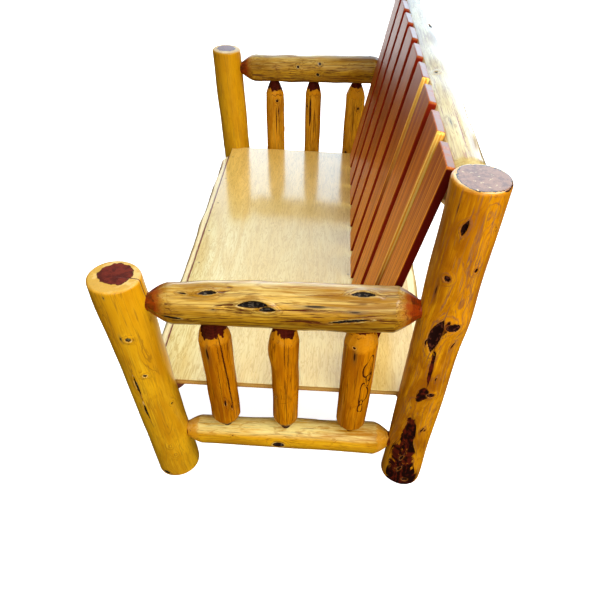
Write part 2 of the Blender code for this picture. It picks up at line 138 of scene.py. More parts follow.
class Nodes:
    """The node tree of a finish or of the sky, with short ways to add the nodes that they use."""

    def __init__(self, owner: bpy.types.Material | bpy.types.World, shader: str = "Principled BSDF") -> None:
        """Give a new material or world its nodes.

        Args:
            owner: The material or world.
            shader: The name of the shader that it starts with.
        """
        owner.use_nodes = True
        self.owner = owner
        self.tree = owner.node_tree
        self.shader = self.tree.nodes[shader]

    def put(self, socket: bpy.types.NodeSocket, value: object) -> None:
        """Link a tap to a socket, or set the socket to a plain value.

        Args:
            socket: The input.
            value: A tap, a number, a colour or a vector.
        """
        if isinstance(value, Tap):
            self.tree.links.new(value.socket, socket)
        elif isinstance(value, tuple) and socket.type == "RGBA":
            socket.default_value = (*value, 1.0)
        else:
            socket.default_value = value

    def add(self, kind: str, settings: dict[str, object], sockets: dict[str | int, object]) -> bpy.types.Node:
        """Add a node.

        Args:
            kind: The node's type.
            settings: Its properties, set before its sockets.
            sockets: A value or a tap for each named or numbered input.

        Returns:
            The new node.
        """
        node = self.tree.nodes.new(kind)
        for name, value in settings.items():
            setattr(node, name, value)
        for key, value in sockets.items():
            self.put(node.inputs[key], value)
        return node

    def math(self, operation: str, *values: Number) -> Tap:
        """Return the result of a Math node."""
        node = self.add("ShaderNodeMath", {"operation": operation}, dict(enumerate(values)))
        return Tap(self, node.outputs[0])

    def smooth(self, value: Number, start: float, end: float) -> Tap:
        """Return 0 before start and 1 after end, smooth between; start may be above end."""
        node = self.add("ShaderNodeMapRange", {"interpolation_type": "SMOOTHSTEP"},
                        {"Value": value, "From Min": start, "From Max": end})
        return Tap(self, node.outputs[0])

    def mix(self, factor: Number, first: Tap | Colour, second: Tap | Colour) -> Tap:
        """Return a colour between two colours."""
        node = self.add("ShaderNodeMix", {"data_type": "RGBA", "clamp_factor": True},
                        {0: factor, 6: first, 7: second})
        return Tap(self, node.outputs[2])

    def stretched(self, vector: Tap, per_metre: Colour) -> Tap:
        """Return coordinates scaled by a number of pattern cells per metre on each axis."""
        node = self.add("ShaderNodeVectorMath", {"operation": "MULTIPLY"}, {0: vector, 1: per_metre})
        return Tap(self, node.outputs[0])

    def noise(self, vector: Tap, per_metre: Colour, detail: float = 3.0, roughness: float = 0.55,
              distortion: float = 0.0) -> Tap:
        """Return noise of about 0.2 to 0.8.

        Args:
            vector: Coordinates in metres.
            per_metre: Pattern cells per metre on each axis.
            detail: How many finer layers it has.
            roughness: How strong they are.
            distortion: How far it is stirred.

        Returns:
            The noise value.
        """
        node = self.add("ShaderNodeTexNoise", {}, {
            "Vector": self.stretched(vector, per_metre), "Scale": 1.0, "Detail": detail,
            "Roughness": roughness, "Distortion": distortion,
        })
        return Tap(self, node.outputs["Fac"])

    def attribute(self, name: str) -> Tap:
        """Return a mesh attribute as a vector."""
        node = self.add("ShaderNodeAttribute", {"attribute_name": name}, {})
        return Tap(self, node.outputs["Vector"])

    def split(self, vector: Tap) -> tuple[Tap, Tap, Tap]:
        """Return a vector's three parts."""
        node = self.add("ShaderNodeSeparateXYZ", {}, {0: vector})
        return tuple(Tap(self, output) for output in node.outputs)

    def place(self, kind: str = "Object") -> Tap:
        """Return the place on the object, in metres, or the texture coordinates of another kind."""
        node = self.add("ShaderNodeTexCoord", {}, {})
        return Tap(self, node.outputs[kind])

    def bump(self, height: Tap, strength: float, distance: float) -> Tap:
        """Return a normal bent by a height."""
        node = self.add("ShaderNodeBump", {},
                        {"Height": height, "Strength": strength, "Distance": distance})
        return Tap(self, node.outputs["Normal"])

    def finish(self, **sockets: object) -> bpy.types.Material | bpy.types.World:
        """Set the shader's sockets.

        Args:
            **sockets: A value or a tap for each socket, with _ for each space in its name.

        Returns:
            The finished material or world.
        """
        for name, value in sockets.items():
            self.put(self.shader.inputs[name.replace("_", " ").title().replace("Ior", "IOR")], value)
        return self.owner


@dataclass(frozen=True)
class LogFinish:
    """Peeled cedar under gloss varnish, with heartwood wherever the log is cut deep enough."""

    name: str
    amber: Colour
    light: Colour
    deep: Colour
    # pale: the paler colour that the upper sides of rails are mixed towards as painted light; cream patches,
    # heart flecks and worn rims use it too.
    pale: Colour
    cut: Colour
    heart: Colour
    heart_dark: Colour
    rust: Colour = (0.085, 0.009, 0.003)
    soot: Colour = (0.006, 0.004, 0.003)
    ash: Colour = (0.085, 0.066, 0.045)
    specks: float = 0.5
    # More dark specks on the lower side: real specks, crowded there as painted shade.
    underside_specks_and_shade: float = 0.0
    halo: float = 0.8
    lines: float = 0.5
    jag: float = 1.0
    heart_rim: float = 0.0
    cream: float = 0.1
    toast: float = 0.0
    figure: float = 0.4
    # A pale band round each hollow: partly wear, partly painted highlight on its lip.
    rim_wear_and_highlight: float = 0.5
    flecks: float = 0.0
    pit_from: float = 0.54
    shortness: float = 1.0
    ring_pitch: float = 0.0026
    coat: float = 0.6
    cut_coat: float = 0.6
    coat_ior: float = 1.5
    specular: float = 0.2

    def material(self) -> bpy.types.Material:
        """Make the finish.

        Returns:
            A material that reads the log's wood, marks, tone and crack attributes.
        """
        nodes = Nodes(bpy.data.materials.new(self.name))
        wood = nodes.attribute("wood")
        hollow, scar, shaved = nodes.split(nodes.attribute("marks"))
        # pale carries the paler tone with painted light on the upper side, and painted shade where it is
        # negative.
        core, stain, pale = nodes.split(nodes.attribute("tone"))
        ahead, aside, gape = nodes.split(nodes.attribute("crack"))
        beside = abs(nodes.math("ARCTAN2", aside, ahead)) * (CRACK_REACH / math.pi)
        x, y, _ = nodes.split(wood)
        # Grain, growth rings and fine lines.
        short = self.shortness
        broad = nodes.noise(wood, (19, 19, 2.6 * short))
        mottle = nodes.noise(wood, (80, 80, 9.0 * short), detail=4.0, roughness=0.6)
        fibre = nodes.noise(wood, (150, 150, 5.0 * short), detail=4.0, roughness=0.65)
        fine = nodes.noise(wood, (520, 520, 18 * short), detail=2.0)
        patch = nodes.noise(wood, (90, 90, 55), detail=4.0)
        speck = nodes.noise(wood, (340, 340, 130), detail=2.0)
        flow = nodes.noise(wood, (75, 75, 1.9), detail=3.0, roughness=0.6)
        hair = nodes.noise(wood, (210, 210, 4.0), detail=2.0)
        line = nodes.smooth(abs(flow - 0.5), 0.030, 0.006) * nodes.smooth(fibre, 0.38, 0.56)
        thread = nodes.smooth(abs(hair - 0.5), 0.030, 0.006) * nodes.smooth(broad, 0.62, 0.42)
        rho = nodes.math("SQRT", x * x + y * y)
        wavy = rho + (broad - 0.5) * 0.012 + (mottle - 0.5) * 0.003
        ring = nodes.math("SINE", wavy * (TURN / self.ring_pitch))
        ring_line = nodes.smooth(ring, 0.65, 1.0)

        # Peeled and cut sapwood.
        body = nodes.mix(nodes.smooth(broad, 0.30, 0.62), self.deep, self.amber)
        body = nodes.mix(nodes.smooth(mottle, 0.50, 0.72) * 0.5, body, self.deep)
        body = nodes.mix(nodes.smooth(fibre, 0.46, 0.74) * 0.5, body, self.light)
        # Painted light: the upper side is mixed towards the pale colour, on top of an even paler share.
        body = nodes.mix(pale * nodes.smooth(fibre + (broad - 0.5) * 0.8, 0.25, 0.7), body, self.pale)
        # Painted shade: a negative pale darkens the upper half of a post towards deep.
        body = nodes.mix(pale * -1.0, body, self.deep)
        body = nodes.mix(ring_line * nodes.smooth(patch, 0.40, 0.56) * 0.5, body, self.deep)
        body = nodes.mix(ring_line * nodes.smooth(hollow, 0.018, 0.005) * self.figure, body, self.heart_dark)
        body = nodes.mix(nodes.smooth(fine, 0.52, 0.70) * 0.5, body, self.deep)
        body = nodes.mix(thread * self.lines * 0.8, body, self.deep)
        body = nodes.mix(line * self.lines * (1.0 - pale * 0.6), body, self.heart_dark)
        cream = nodes.smooth(nodes.noise(wood, (34, 34, 34), detail=3.0), 0.50, 0.62)
        cut = nodes.mix(ring_line * 0.5, nodes.mix(cream * self.cream, self.cut, self.pale), self.amber)
        body = nodes.mix(shaved * (0.45 + patch * 0.5), body, cut)

        # Heartwood, with a ragged edge.
        jag = (nodes.noise(wood, (40, 40, 8), detail=2.0) - 0.5) * (0.45 * self.jag)
        jag = jag + (patch - 0.5) * (0.40 * self.jag)
        edge = core - 1.0 - jag
        heart = nodes.smooth(edge, 0.02, -0.02)
        halo = nodes.smooth(abs(edge - 0.17), 0.035, 0.010) * nodes.smooth(patch, 0.46, 0.56) * shaved
        vein = mottle + (fibre - 0.5) * 0.6 + (broad - 0.5) * 0.5 + ring * 0.06
        heart_tone = nodes.mix(nodes.smooth(vein, 0.32, 0.62), self.heart_dark, self.heart)
        fleck = nodes.smooth(patch + (speck - 0.5) * 0.3, 0.63, 0.70)
        heart_tone = nodes.mix(fleck * self.flecks, heart_tone, self.pale)
        toast = nodes.smooth(edge + (patch - 0.5) * 1.3, 0.42, 0.0) * shaved
        body = nodes.mix(toast * self.toast, body, self.heart)
        body = nodes.mix(halo * self.halo, body, self.rust)
        body = nodes.mix(heart, body, heart_tone)
        body = nodes.mix(nodes.smooth(abs(edge + 0.01), 0.035, 0.01) * self.heart_rim, body, self.soot)

        # Specks and grey streaks.
        streak = nodes.noise(wood, (330, 330, 13), detail=3.0)
        # Painted shade: dark specks crowd on the lower side, where pale is low.
        crowd_and_underside_shade = (broad - 0.5) * 0.3 + (0.5 - pale) * self.underside_specks_and_shade
        dash = nodes.smooth(streak + crowd_and_underside_shade, 0.62, 0.70) * (1.0 - shaved)
        body = nodes.mix(dash * self.specks, body, self.heart_dark)
        body = nodes.mix(stain * nodes.smooth(fibre, 0.25, 0.6) * 0.8, body, self.ash)
        body = nodes.mix(nodes.smooth(stain + fibre, 1.2, 1.4) * 0.9, body, self.soot)

        # Bark scars, cracks and hollows.
        tear = nodes.noise(wood, (130, 130, 11), detail=4.0, roughness=0.6)
        torn = scar + (tear - 0.5) * 0.017 + (fine - 0.5) * 0.004
        red = nodes.smooth(torn, 0.0004, -0.0004) * nodes.smooth(patch + (tear - 0.5) * 0.4, 0.72, 0.68)
        flesh = nodes.mix(nodes.smooth(tear + (patch - 0.5) * 0.8, 0.44, 0.62), self.soot, self.rust)
        flesh = nodes.mix(nodes.smooth(fibre + (patch - 0.5) * 0.5, 0.62, 0.74) * 0.7, flesh, self.amber)
        body = nodes.mix(nodes.smooth(abs(torn), 0.0018, 0.0) * 0.5, body, self.soot)
        body = nodes.mix(red, body, flesh)
        split = nodes.smooth(beside - gape * (0.4 + streak * 1.2), 0.0003, -0.0002)
        body = nodes.mix(split * 0.92, body, self.heart_dark)
        ragged = hollow + (fibre - 0.5) * 0.0030
        pit = nodes.smooth(ragged, 0.0005, -0.0005)
        grey = nodes.smooth(hollow, -0.0008, -0.0024) * nodes.smooth(hollow, -0.0080, -0.0055)
        grey = grey * nodes.smooth(speck + (patch - 0.5) * 0.3, self.pit_from, self.pit_from + 0.08)
        body = nodes.mix(nodes.smooth(ragged, 0.006, 0.0) * 0.55, body, self.deep)
        # Painted highlight and wear: a pale band round the lip of each hollow.
        rim = nodes.smooth(abs(ragged - 0.0014), 0.0012, 0.0002) * nodes.smooth(patch, 0.44, 0.58)
        body = nodes.mix(rim * self.rim_wear_and_highlight, body, self.pale)
        body = nodes.mix(pit, body, nodes.mix(grey * 0.85, self.soot, self.ash))

        # Gloss and relief.
        rough = 0.32 + (fibre - 0.5) * 0.18 + pit * 0.35 + red * 0.10
        relief = fibre * 0.5 + fine * 0.35 + ring_line * 0.10 - split * 1.2 - red * patch * 0.8
        return nodes.finish(
            base_color=body, roughness=rough,
            coat_weight=(shaved * (self.cut_coat - self.coat) + self.coat) * (1.0 - pit * 0.9),
            coat_roughness=0.10, coat_ior=self.coat_ior, specular_ior_level=self.specular,
            normal=nodes.bump(relief, 0.45, 0.0006),
        )


@dataclass(frozen=True)
class PlyFinish:
    """Birch plywood under gloss varnish: flecked face veneer, and striped layers on its edge."""

    name: str
    face: Colour = (0.75, 0.585, 0.195)
    face_deep: Colour = (0.68, 0.45, 0.090)
    # Warmer amber towards the far end: partly the panel's tone, partly painted reflection of the far end's
    # amber logs.
    face_far_amber_and_reflection: Colour = (0.88, 0.60, 0.150)
    # Painted light: the front part of the deck's near half is painted paler.
    face_painted_light: Colour = (0.82, 0.72, 0.330)
    figure: Colour = (0.56, 0.35, 0.065)
    fleck: Colour = (0.42, 0.23, 0.04)
    layer_light: Colour = (0.80, 0.50, 0.13)
    layer_dark: Colour = (0.36, 0.15, 0.018)
    layer: float = 0.0020
    half_thickness: float = 0.009

    def material(self) -> bpy.types.Material:
        """Make the finish.

        Returns:
            A material that reads the deck's wood attribute.
        """
        nodes = Nodes(bpy.data.materials.new(self.name))
        wood = nodes.attribute("wood")
        _, _, through = nodes.split(wood)
        flame = nodes.noise(wood, (2.6, 16, 0), detail=3.0, distortion=1.4)
        grain = nodes.noise(wood, (14, 190, 0), detail=4.0, roughness=0.65)
        dots = nodes.noise(wood, (60, 420, 0), detail=2.0)
        figure = nodes.noise(wood, (11, 85, 0), detail=2.0, distortion=1.5)
        contour = nodes.smooth(abs(figure - 0.5), 0.06, 0.01)
        along, across, _ = nodes.split(nodes.place())
        # Painted reflection, partly the panel's tone: warmer amber towards the far end.
        far_amber_and_reflection = nodes.smooth(along, 0.0, -0.45)
        # Painted light: paler over the front part of the deck's near half.
        pale = nodes.smooth(across, -0.12, -0.32) * nodes.smooth(along, -0.25, 0.15)
        face = nodes.mix(pale, nodes.mix(far_amber_and_reflection, self.face, self.face_far_amber_and_reflection), self.face_painted_light)
        face = nodes.mix(nodes.smooth(flame, 0.36, 0.68) * 0.55, face, self.face_deep)
        face = nodes.mix(nodes.smooth(grain, 0.45, 0.75) * 0.45, face, self.face_deep)
        face = nodes.mix(contour * 0.6, face, self.figure)
        face = nodes.mix(nodes.smooth(dots + (flame - 0.5) * 0.25, 0.62, 0.72) * 0.55, face, self.fleck)
        place = through * (1.0 / self.layer)
        stripe = nodes.smooth(nodes.math("SINE", place * math.pi), -0.25, 0.25)
        edge_grain = nodes.noise(wood, (260, 260, 900), detail=2.0)
        edge = nodes.mix(stripe, self.layer_dark, self.layer_light)
        edge = nodes.mix(nodes.smooth(edge_grain, 0.4, 0.7) * 0.4, edge, self.layer_dark)
        outer = nodes.smooth(abs(through + self.half_thickness), 0.0025, 0.0045)
        edge = nodes.mix(outer * 0.6, edge, self.layer_dark)
        veneer = nodes.smooth(through, -0.0016, -0.0010)
        return nodes.finish(
            base_color=nodes.mix(veneer, edge, face),
            roughness=0.32 + (grain - 0.5) * 0.14,
            coat_weight=veneer * 0.85 + 0.15, coat_roughness=0.14, coat_ior=1.85, specular_ior_level=0.3,
            normal=nodes.bump(grain * 0.6 + dots * 0.4, 0.18, 0.0003),
        )


@dataclass(frozen=True)
class CedarFinish:
    """Planed red cedar under gloss varnish, with sawn sides darker partly by their own deeper red and partly
    as painted shade, and a sapwood side on some boards.
    """

    name: str
    face: Colour = (0.74, 0.200, 0.011)
    face_light: Colour = (0.92, 0.37, 0.034)
    face_deep: Colour = (0.26, 0.048, 0.004)
    # The sawn sides' own deeper red, darkened further as painted shade of the gaps between boards.
    side: Colour = (0.19, 0.011, 0.002)
    # End grain's own colour, greyed towards mauve as painted reflection of the sky in its varnish.
    end: Colour = (0.23, 0.125, 0.095)
    sapwood: Colour = (0.95, 0.64, 0.14)
    sapwood_deep: Colour = (0.66, 0.24, 0.02)
    half_width: float = 0.057

    def material(self) -> bpy.types.Material:
        """Make the finish.

        Returns:
            A material that reads the board's wood and tone attributes.
        """
        nodes = Nodes(bpy.data.materials.new(self.name))
        wood = nodes.attribute("wood")
        shade, sap, end = nodes.split(nodes.attribute("tone"))
        near_sap = nodes.smooth(sap, 0.22, 0.58)
        far_sap = nodes.smooth(sap * -1.0, 0.22, 0.58)
        _, across, _ = nodes.split(wood)
        broad = nodes.noise(wood, (0.9, 40, 30), detail=2.0)
        grain = nodes.noise(wood, (2.6, 260, 260), detail=4.0, roughness=0.6)
        fine = nodes.noise(wood, (14, 650, 650), detail=2.0)
        # shade carries the board's tone with painted shade: darker towards its top and on the far boards.
        face = nodes.mix(nodes.smooth(broad * 0.5 + shade, 0.45, 1.15), self.face_deep, self.face)
        face = nodes.mix(nodes.smooth(grain + (shade - 0.5) * 0.3, 0.50, 0.7) * 0.6, face, self.face_light)
        face = nodes.mix(nodes.smooth(grain, 0.47, 0.33) * 0.75, face, self.face_deep)
        dash = nodes.smooth(nodes.noise(wood, (9, 260, 260), detail=2.0), 0.63, 0.72)
        face = nodes.mix(dash * 0.8, face, self.face_deep)
        yellow = nodes.mix(nodes.smooth(grain, 0.35, 0.65), self.sapwood_deep, self.sapwood)
        rim = self.half_width
        ragged = (broad - 0.5) * 0.010
        on_near = nodes.smooth(across + ragged * near_sap, rim - 0.0028, rim - 0.0016) * near_sap
        on_far = nodes.smooth(across * -1.0 + ragged * far_sap, rim - 0.0028, rim - 0.0016) * far_sap
        # Sawn sides: their own deeper red, darkened further as painted shade.
        sawn = nodes.smooth(abs(across), rim - 0.0012, rim - 0.0002)
        body = nodes.mix(sawn, face, self.side)
        body = nodes.mix(nodes.math("MAXIMUM", on_near, on_far), body, yellow)
        # Painted reflection: the end grain is greyed towards mauve.
        body = nodes.mix(end * nodes.smooth(broad, 0.20, 0.55), body, self.end)
        return nodes.finish(
            base_color=body, roughness=0.44 + (grain - 0.5) * 0.16,
            coat_weight=0.05 + end * 0.6, coat_roughness=0.16, coat_ior=1.5, specular_ior_level=0.08,
            normal=nodes.bump(grain * 0.6 + fine * 0.4, 0.25, 0.0004),
        )


@dataclass(frozen=True)
class LumberFinish:
    """Plain planed softwood for the pieces under the deck."""

    name: str
    light: Colour = (0.72, 0.52, 0.29)
    dark: Colour = (0.47, 0.28, 0.12)

    def material(self) -> bpy.types.Material:
        """Make the finish.

        Returns:
            A material that reads the board's wood attribute.
        """
        nodes = Nodes(bpy.data.materials.new(self.name))
        wood = nodes.attribute("wood")
        bands = nodes.noise(wood, (1.4, 46, 46), detail=2.0, distortion=0.6)
        grain = nodes.noise(wood, (6, 260, 260), detail=4.0)
        body = nodes.mix(nodes.smooth(bands, 0.4, 0.62), self.light, self.dark)
        body = nodes.mix(nodes.smooth(grain, 0.45, 0.7) * 0.5, body, self.dark)
        return nodes.finish(
            base_color=body, roughness=0.55 + (grain - 0.5) * 0.2,
            normal=nodes.bump(grain, 0.3, 0.0004),
        )


@dataclass(frozen=True)
class ScrewFinish:
    """Bronzed steel, dull and soiled."""

    name: str
    bright: Colour = (0.16, 0.11, 0.05)
    dull: Colour = (0.045, 0.030, 0.018)

    def material(self) -> bpy.types.Material:
        """Make the finish.

        Returns:
            A material in object coordinates.
        """
        nodes = Nodes(bpy.data.materials.new(self.name))
        cloud = nodes.noise(nodes.place(), (700, 700, 700), detail=3.0)
        body = nodes.mix(nodes.smooth(cloud, 0.35, 0.65), self.bright, self.dull)
        return nodes.finish(base_color=body, metallic=0.6, roughness=0.45 + (cloud - 0.5) * 0.3)


@dataclass(frozen=True)
class FloorFinish:
    """Plain pale studio floor."""

    name: str
    tone: Colour = (0.90, 0.895, 0.885)
    tone_low: Colour = (0.87, 0.865, 0.855)

    def material(self) -> bpy.types.Material:
        """Make the finish.

        Returns:
            A material in object coordinates.
        """
        nodes = Nodes(bpy.data.materials.new(self.name))
        cloud = nodes.noise(nodes.place(), (1.2, 1.2, 1.2), detail=4.0)
        return nodes.finish(
            base_color=nodes.mix(cloud, self.tone_low, self.tone), roughness=0.75 + (cloud - 0.5) * 0.1,
            emission_color=WHITE, emission_strength=0.80,
        )


class MarkKind(Enum):
    """What a mark on a log is."""

    EYE = "lens-shaped hollow that a lost branch left"
    KNOT = "small round knot"
    SCAR = "red-brown bark scar"
    CRACK = "drying crack"
    STAIN = "grey streak under the varnish"
    SWELL = "round swelling with ringed grain"
    BOW = "slow bend of the whole log"
    RING = "closed rings of grain over a grown-in knot"
    LOOP = "closed groove that a bark beetle gnawed"


@dataclass(frozen=True)
class Mark:
    """One natural mark on a log.

    along is its middle on the log's length in metres, angle its place round the log in degrees, and
    twist how far the angle changes from its low end to its high end. wander is how far a crack strays.
    """

    kind: MarkKind
    along: float
    angle: float
    length: float
    width: float
    depth: float = 0.003
    twist: float = 0.0
    wander: float = 0.0


STRAY_SIZES = {
    MarkKind.KNOT: (0.011, 0.010, 0.003),
    MarkKind.EYE: (0.040, 0.009, 0.004),
    MarkKind.CRACK: (0.150, 0.002, 0.002),
    MarkKind.SCAR: (0.045, 0.012, 0.001),
}
STRAY_ODDS = (0.4, 0.2, 0.3, 0.1)
STRAY_RANGE = (0.6, 1.4)


@dataclass
class Surface:
    """The points of a log's skin in its own cylinder coordinates, and what the marks do to them."""

    theta: np.ndarray
    along: np.ndarray
    radius: np.ndarray
    lift: np.ndarray = field(init=False)
    ring: np.ndarray = field(init=False)
    turn: np.ndarray = field(init=False)
    stain: np.ndarray = field(init=False)
    hollow: np.ndarray = field(init=False)
    scar: np.ndarray = field(init=False)
    beside: np.ndarray = field(init=False)
    gape: np.ndarray = field(init=False)

    def __post_init__(self) -> None:
        """Start with a clean skin."""
        for name in ("lift", "ring", "turn", "stain", "gape"):
            setattr(self, name, np.zeros_like(self.theta))
        for name in ("hollow", "scar", "beside"):
            setattr(self, name, np.full_like(self.theta, FAR))

    def press(self, mark: Mark) -> None:
        """Add one mark's shape, grain and colour field.

        Args:
            mark: The mark.
        """
        run = (self.along - mark.along) / (mark.length / 2)
        angle = np.radians(mark.angle + mark.twist * run / 2)
        side = self.radius * np.arctan2(np.sin(self.theta - angle), np.cos(self.theta - angle))
        quick_wave, slow_wave = (run * mark.length * wave for wave in WANDER_WAVES)
        side += mark.wander * np.sin(quick_wave) * np.cos(slow_wave)
        half = mark.width / 2
        if mark.kind is MarkKind.BOW:
            self.lift += mark.depth * np.cos(self.theta - angle) * np.exp(-run ** 2)
        elif mark.kind is MarkKind.STAIN:
            self.stain = np.maximum(self.stain, np.exp(-run ** 2 - (side / half) ** 2))
        elif mark.kind is MarkKind.CRACK:
            self.open_crack(run, side, half)
            self.lift -= mark.depth * np.exp(-(side / CRACK_TROUGH) ** 2) * np.clip(1 - run ** 2, 0, 1)
        elif mark.kind is MarkKind.SWELL:
            oval = np.hypot(run, side / half)
            self.lift += mark.depth * np.exp(-oval ** 2)
            share, narrower = SWELL_RINGS
            self.ring -= share * mark.depth * np.exp(-(oval * narrower) ** 2)
        elif mark.kind is MarkKind.RING:
            oval = np.hypot(run, side / half)
            self.ring -= mark.depth * np.exp(-oval ** 2)
            self.hollow = np.minimum(self.hollow, 0.006 + 0.012 * np.maximum(oval - 0.6, 0))
        elif mark.kind is MarkKind.LOOP:
            size, lobes, drift = LOOP_LOBES
            around = np.arctan2(side / half, run)
            oval = np.hypot(run, side / half) / (1 + size * np.sin(lobes * around + drift * mark.along))
            steep = np.hypot(run / (mark.length / 2), side / half ** 2) / np.maximum(oval, 0.05)
            self.open_crack(np.zeros_like(run), (oval - 1) / np.maximum(steep, 1.0), mark.depth)
        else:
            self.sink(mark, run, side, half)

    def open_crack(self, run: np.ndarray, side: np.ndarray, half: float) -> None:
        """Keep the signed distance to the nearest crack and how wide it gapes there.

        Args:
            run: The points' places along the crack, from -1 to 1.
            side: Their distance beside it.
            half: Half its width.
        """
        nearer = (np.abs(side) < np.abs(self.beside)) & (np.abs(run) < 1.0)
        self.beside = np.where(nearer, side, self.beside)
        self.gape = np.where(nearer, half * (1 - run ** 2), self.gape)

    def sink(self, mark: Mark, run: np.ndarray, side: np.ndarray, half: float) -> None:
        """Sink an eye, a knot or a scar into the log, with its lip and the grain that flows round it.

        Args:
            mark: The mark.
            run: The points' places along it, from -1 to 1.
            side: Their distance beside its middle.
            half: Half its width.
        """
        if mark.kind is MarkKind.EYE:
            gap = np.abs(side + EYE_BELLY * half * (1 - run ** 2)) + half * (run ** 2 - 1)
            self.open_crack(run / EYE_CRACK_RUN, side, EYE_CRACK)
        else:
            gap = (np.hypot(run, side / half) - 1) * half
        gap = np.minimum(gap, FAR)
        self.bend_grain(run, side, half)
        if mark.kind is MarkKind.SCAR:
            self.scar = np.minimum(self.scar, gap * SCAR_SCALE / half)
            self.lift -= mark.depth * np.clip(-gap / half, 0, 1) ** 0.5
            return
        self.hollow = np.minimum(self.hollow, gap)
        outside = np.maximum(gap, 0)
        self.lift -= mark.depth * np.clip(-gap / half, 0, 1) ** 0.6
        lip_height, lip_width = LIP
        self.lift += lip_height * mark.depth * np.exp(-(outside / (lip_width * half)) ** 2) * (gap > 0)
        dip, dip_width = RING_DIP
        self.ring -= dip * np.exp(-(outside / (dip_width * half)) ** 2)

    def bend_grain(self, run: np.ndarray, side: np.ndarray, half: float) -> None:
        """Lead the grain round an oval, as a stream flows round a stone.

        Args:
            run: The points' places along the oval, from -1 to 1.
            side: Their distance beside its middle.
            half: Half its width.
        """
        reach = np.hypot(run * half, side)
        part = half ** 2 / np.maximum(reach, half) ** 2
        self.turn -= np.where(reach < GRAIN_REACH * half, side * part, 0.0) / np.maximum(self.radius, 0.004)

    def crack_field(self) -> np.ndarray:
        """Return the signed distance as a point on a circle, which shading can blend between vertices."""
        phase = np.clip(self.beside / CRACK_REACH, -1, 1) * math.pi
        return np.column_stack((np.cos(phase), np.sin(phase), self.gape))


class Lie(Enum):
    """How a log lies: the world directions of its 0 degree side, its 90 degree side and its length."""

    UPRIGHT = ((1, 0, 0), (0, 1, 0), (0, 0, 1))
    CROSSWISE = ((1, 0, 0), (0, 0, -1), (0, 1, 0))
    LENGTHWISE = ((0, 0, 1), (0, -1, 0), (1, 0, 0))


def mesh_points(mesh: bpy.types.Mesh) -> np.ndarray:
    """Read a mesh's vertices.

    Args:
        mesh: The mesh.

    Returns:
        Their coordinates, in a row each.
    """
    points = np.empty(len(mesh.vertices) * 3, np.float32)
    mesh.vertices.foreach_get("co", points)
    return points.reshape(-1, 3).astype(float)


def node_points(node: str) -> np.ndarray:
    """Return a CAD node's vertices in the part frame."""
    return mesh_points(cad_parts[node].data)


def to_mesh(shape: bmesh.types.BMesh, name: str) -> bpy.types.Mesh:
    """Turn a finished bmesh into a mesh, and free it.

    Args:
        shape: The bmesh.
        name: The mesh's name.

    Returns:
        The mesh.
    """
    mesh = bpy.data.meshes.new(name)
    shape.to_mesh(mesh)
    shape.free()
    return mesh


def ring_step(step: float) -> float:
    return step * 1.0


def add_piece(name: str, mesh: bpy.types.Mesh, material: bpy.types.Material,
              nodes: tuple[str, ...] = ()) -> bpy.types.Object:
    """Add a finished mesh to the scene as a piece of the sofa.

    Args:
        name: The piece's name.
        mesh: Its mesh, in the part frame.
        material: Its finish.
        nodes: The CAD nodes that it stands for.

    Returns:
        The piece's object.
    """
    mesh.materials.append(material)
    piece = bpy.data.objects.new(name, mesh)
    bpy.context.scene.collection.objects.link(piece)
    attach(piece, BODY)
    if nodes:
        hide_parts(*nodes)
    return piece


def store(mesh: bpy.types.Mesh, name: str, values: np.ndarray) -> None:
    """Keep a vector for each vertex of a mesh."""
    layer = mesh.attributes.new(name, "FLOAT_VECTOR", "POINT")
    layer.data.foreach_set("vector", values.astype(np.float32).ravel())


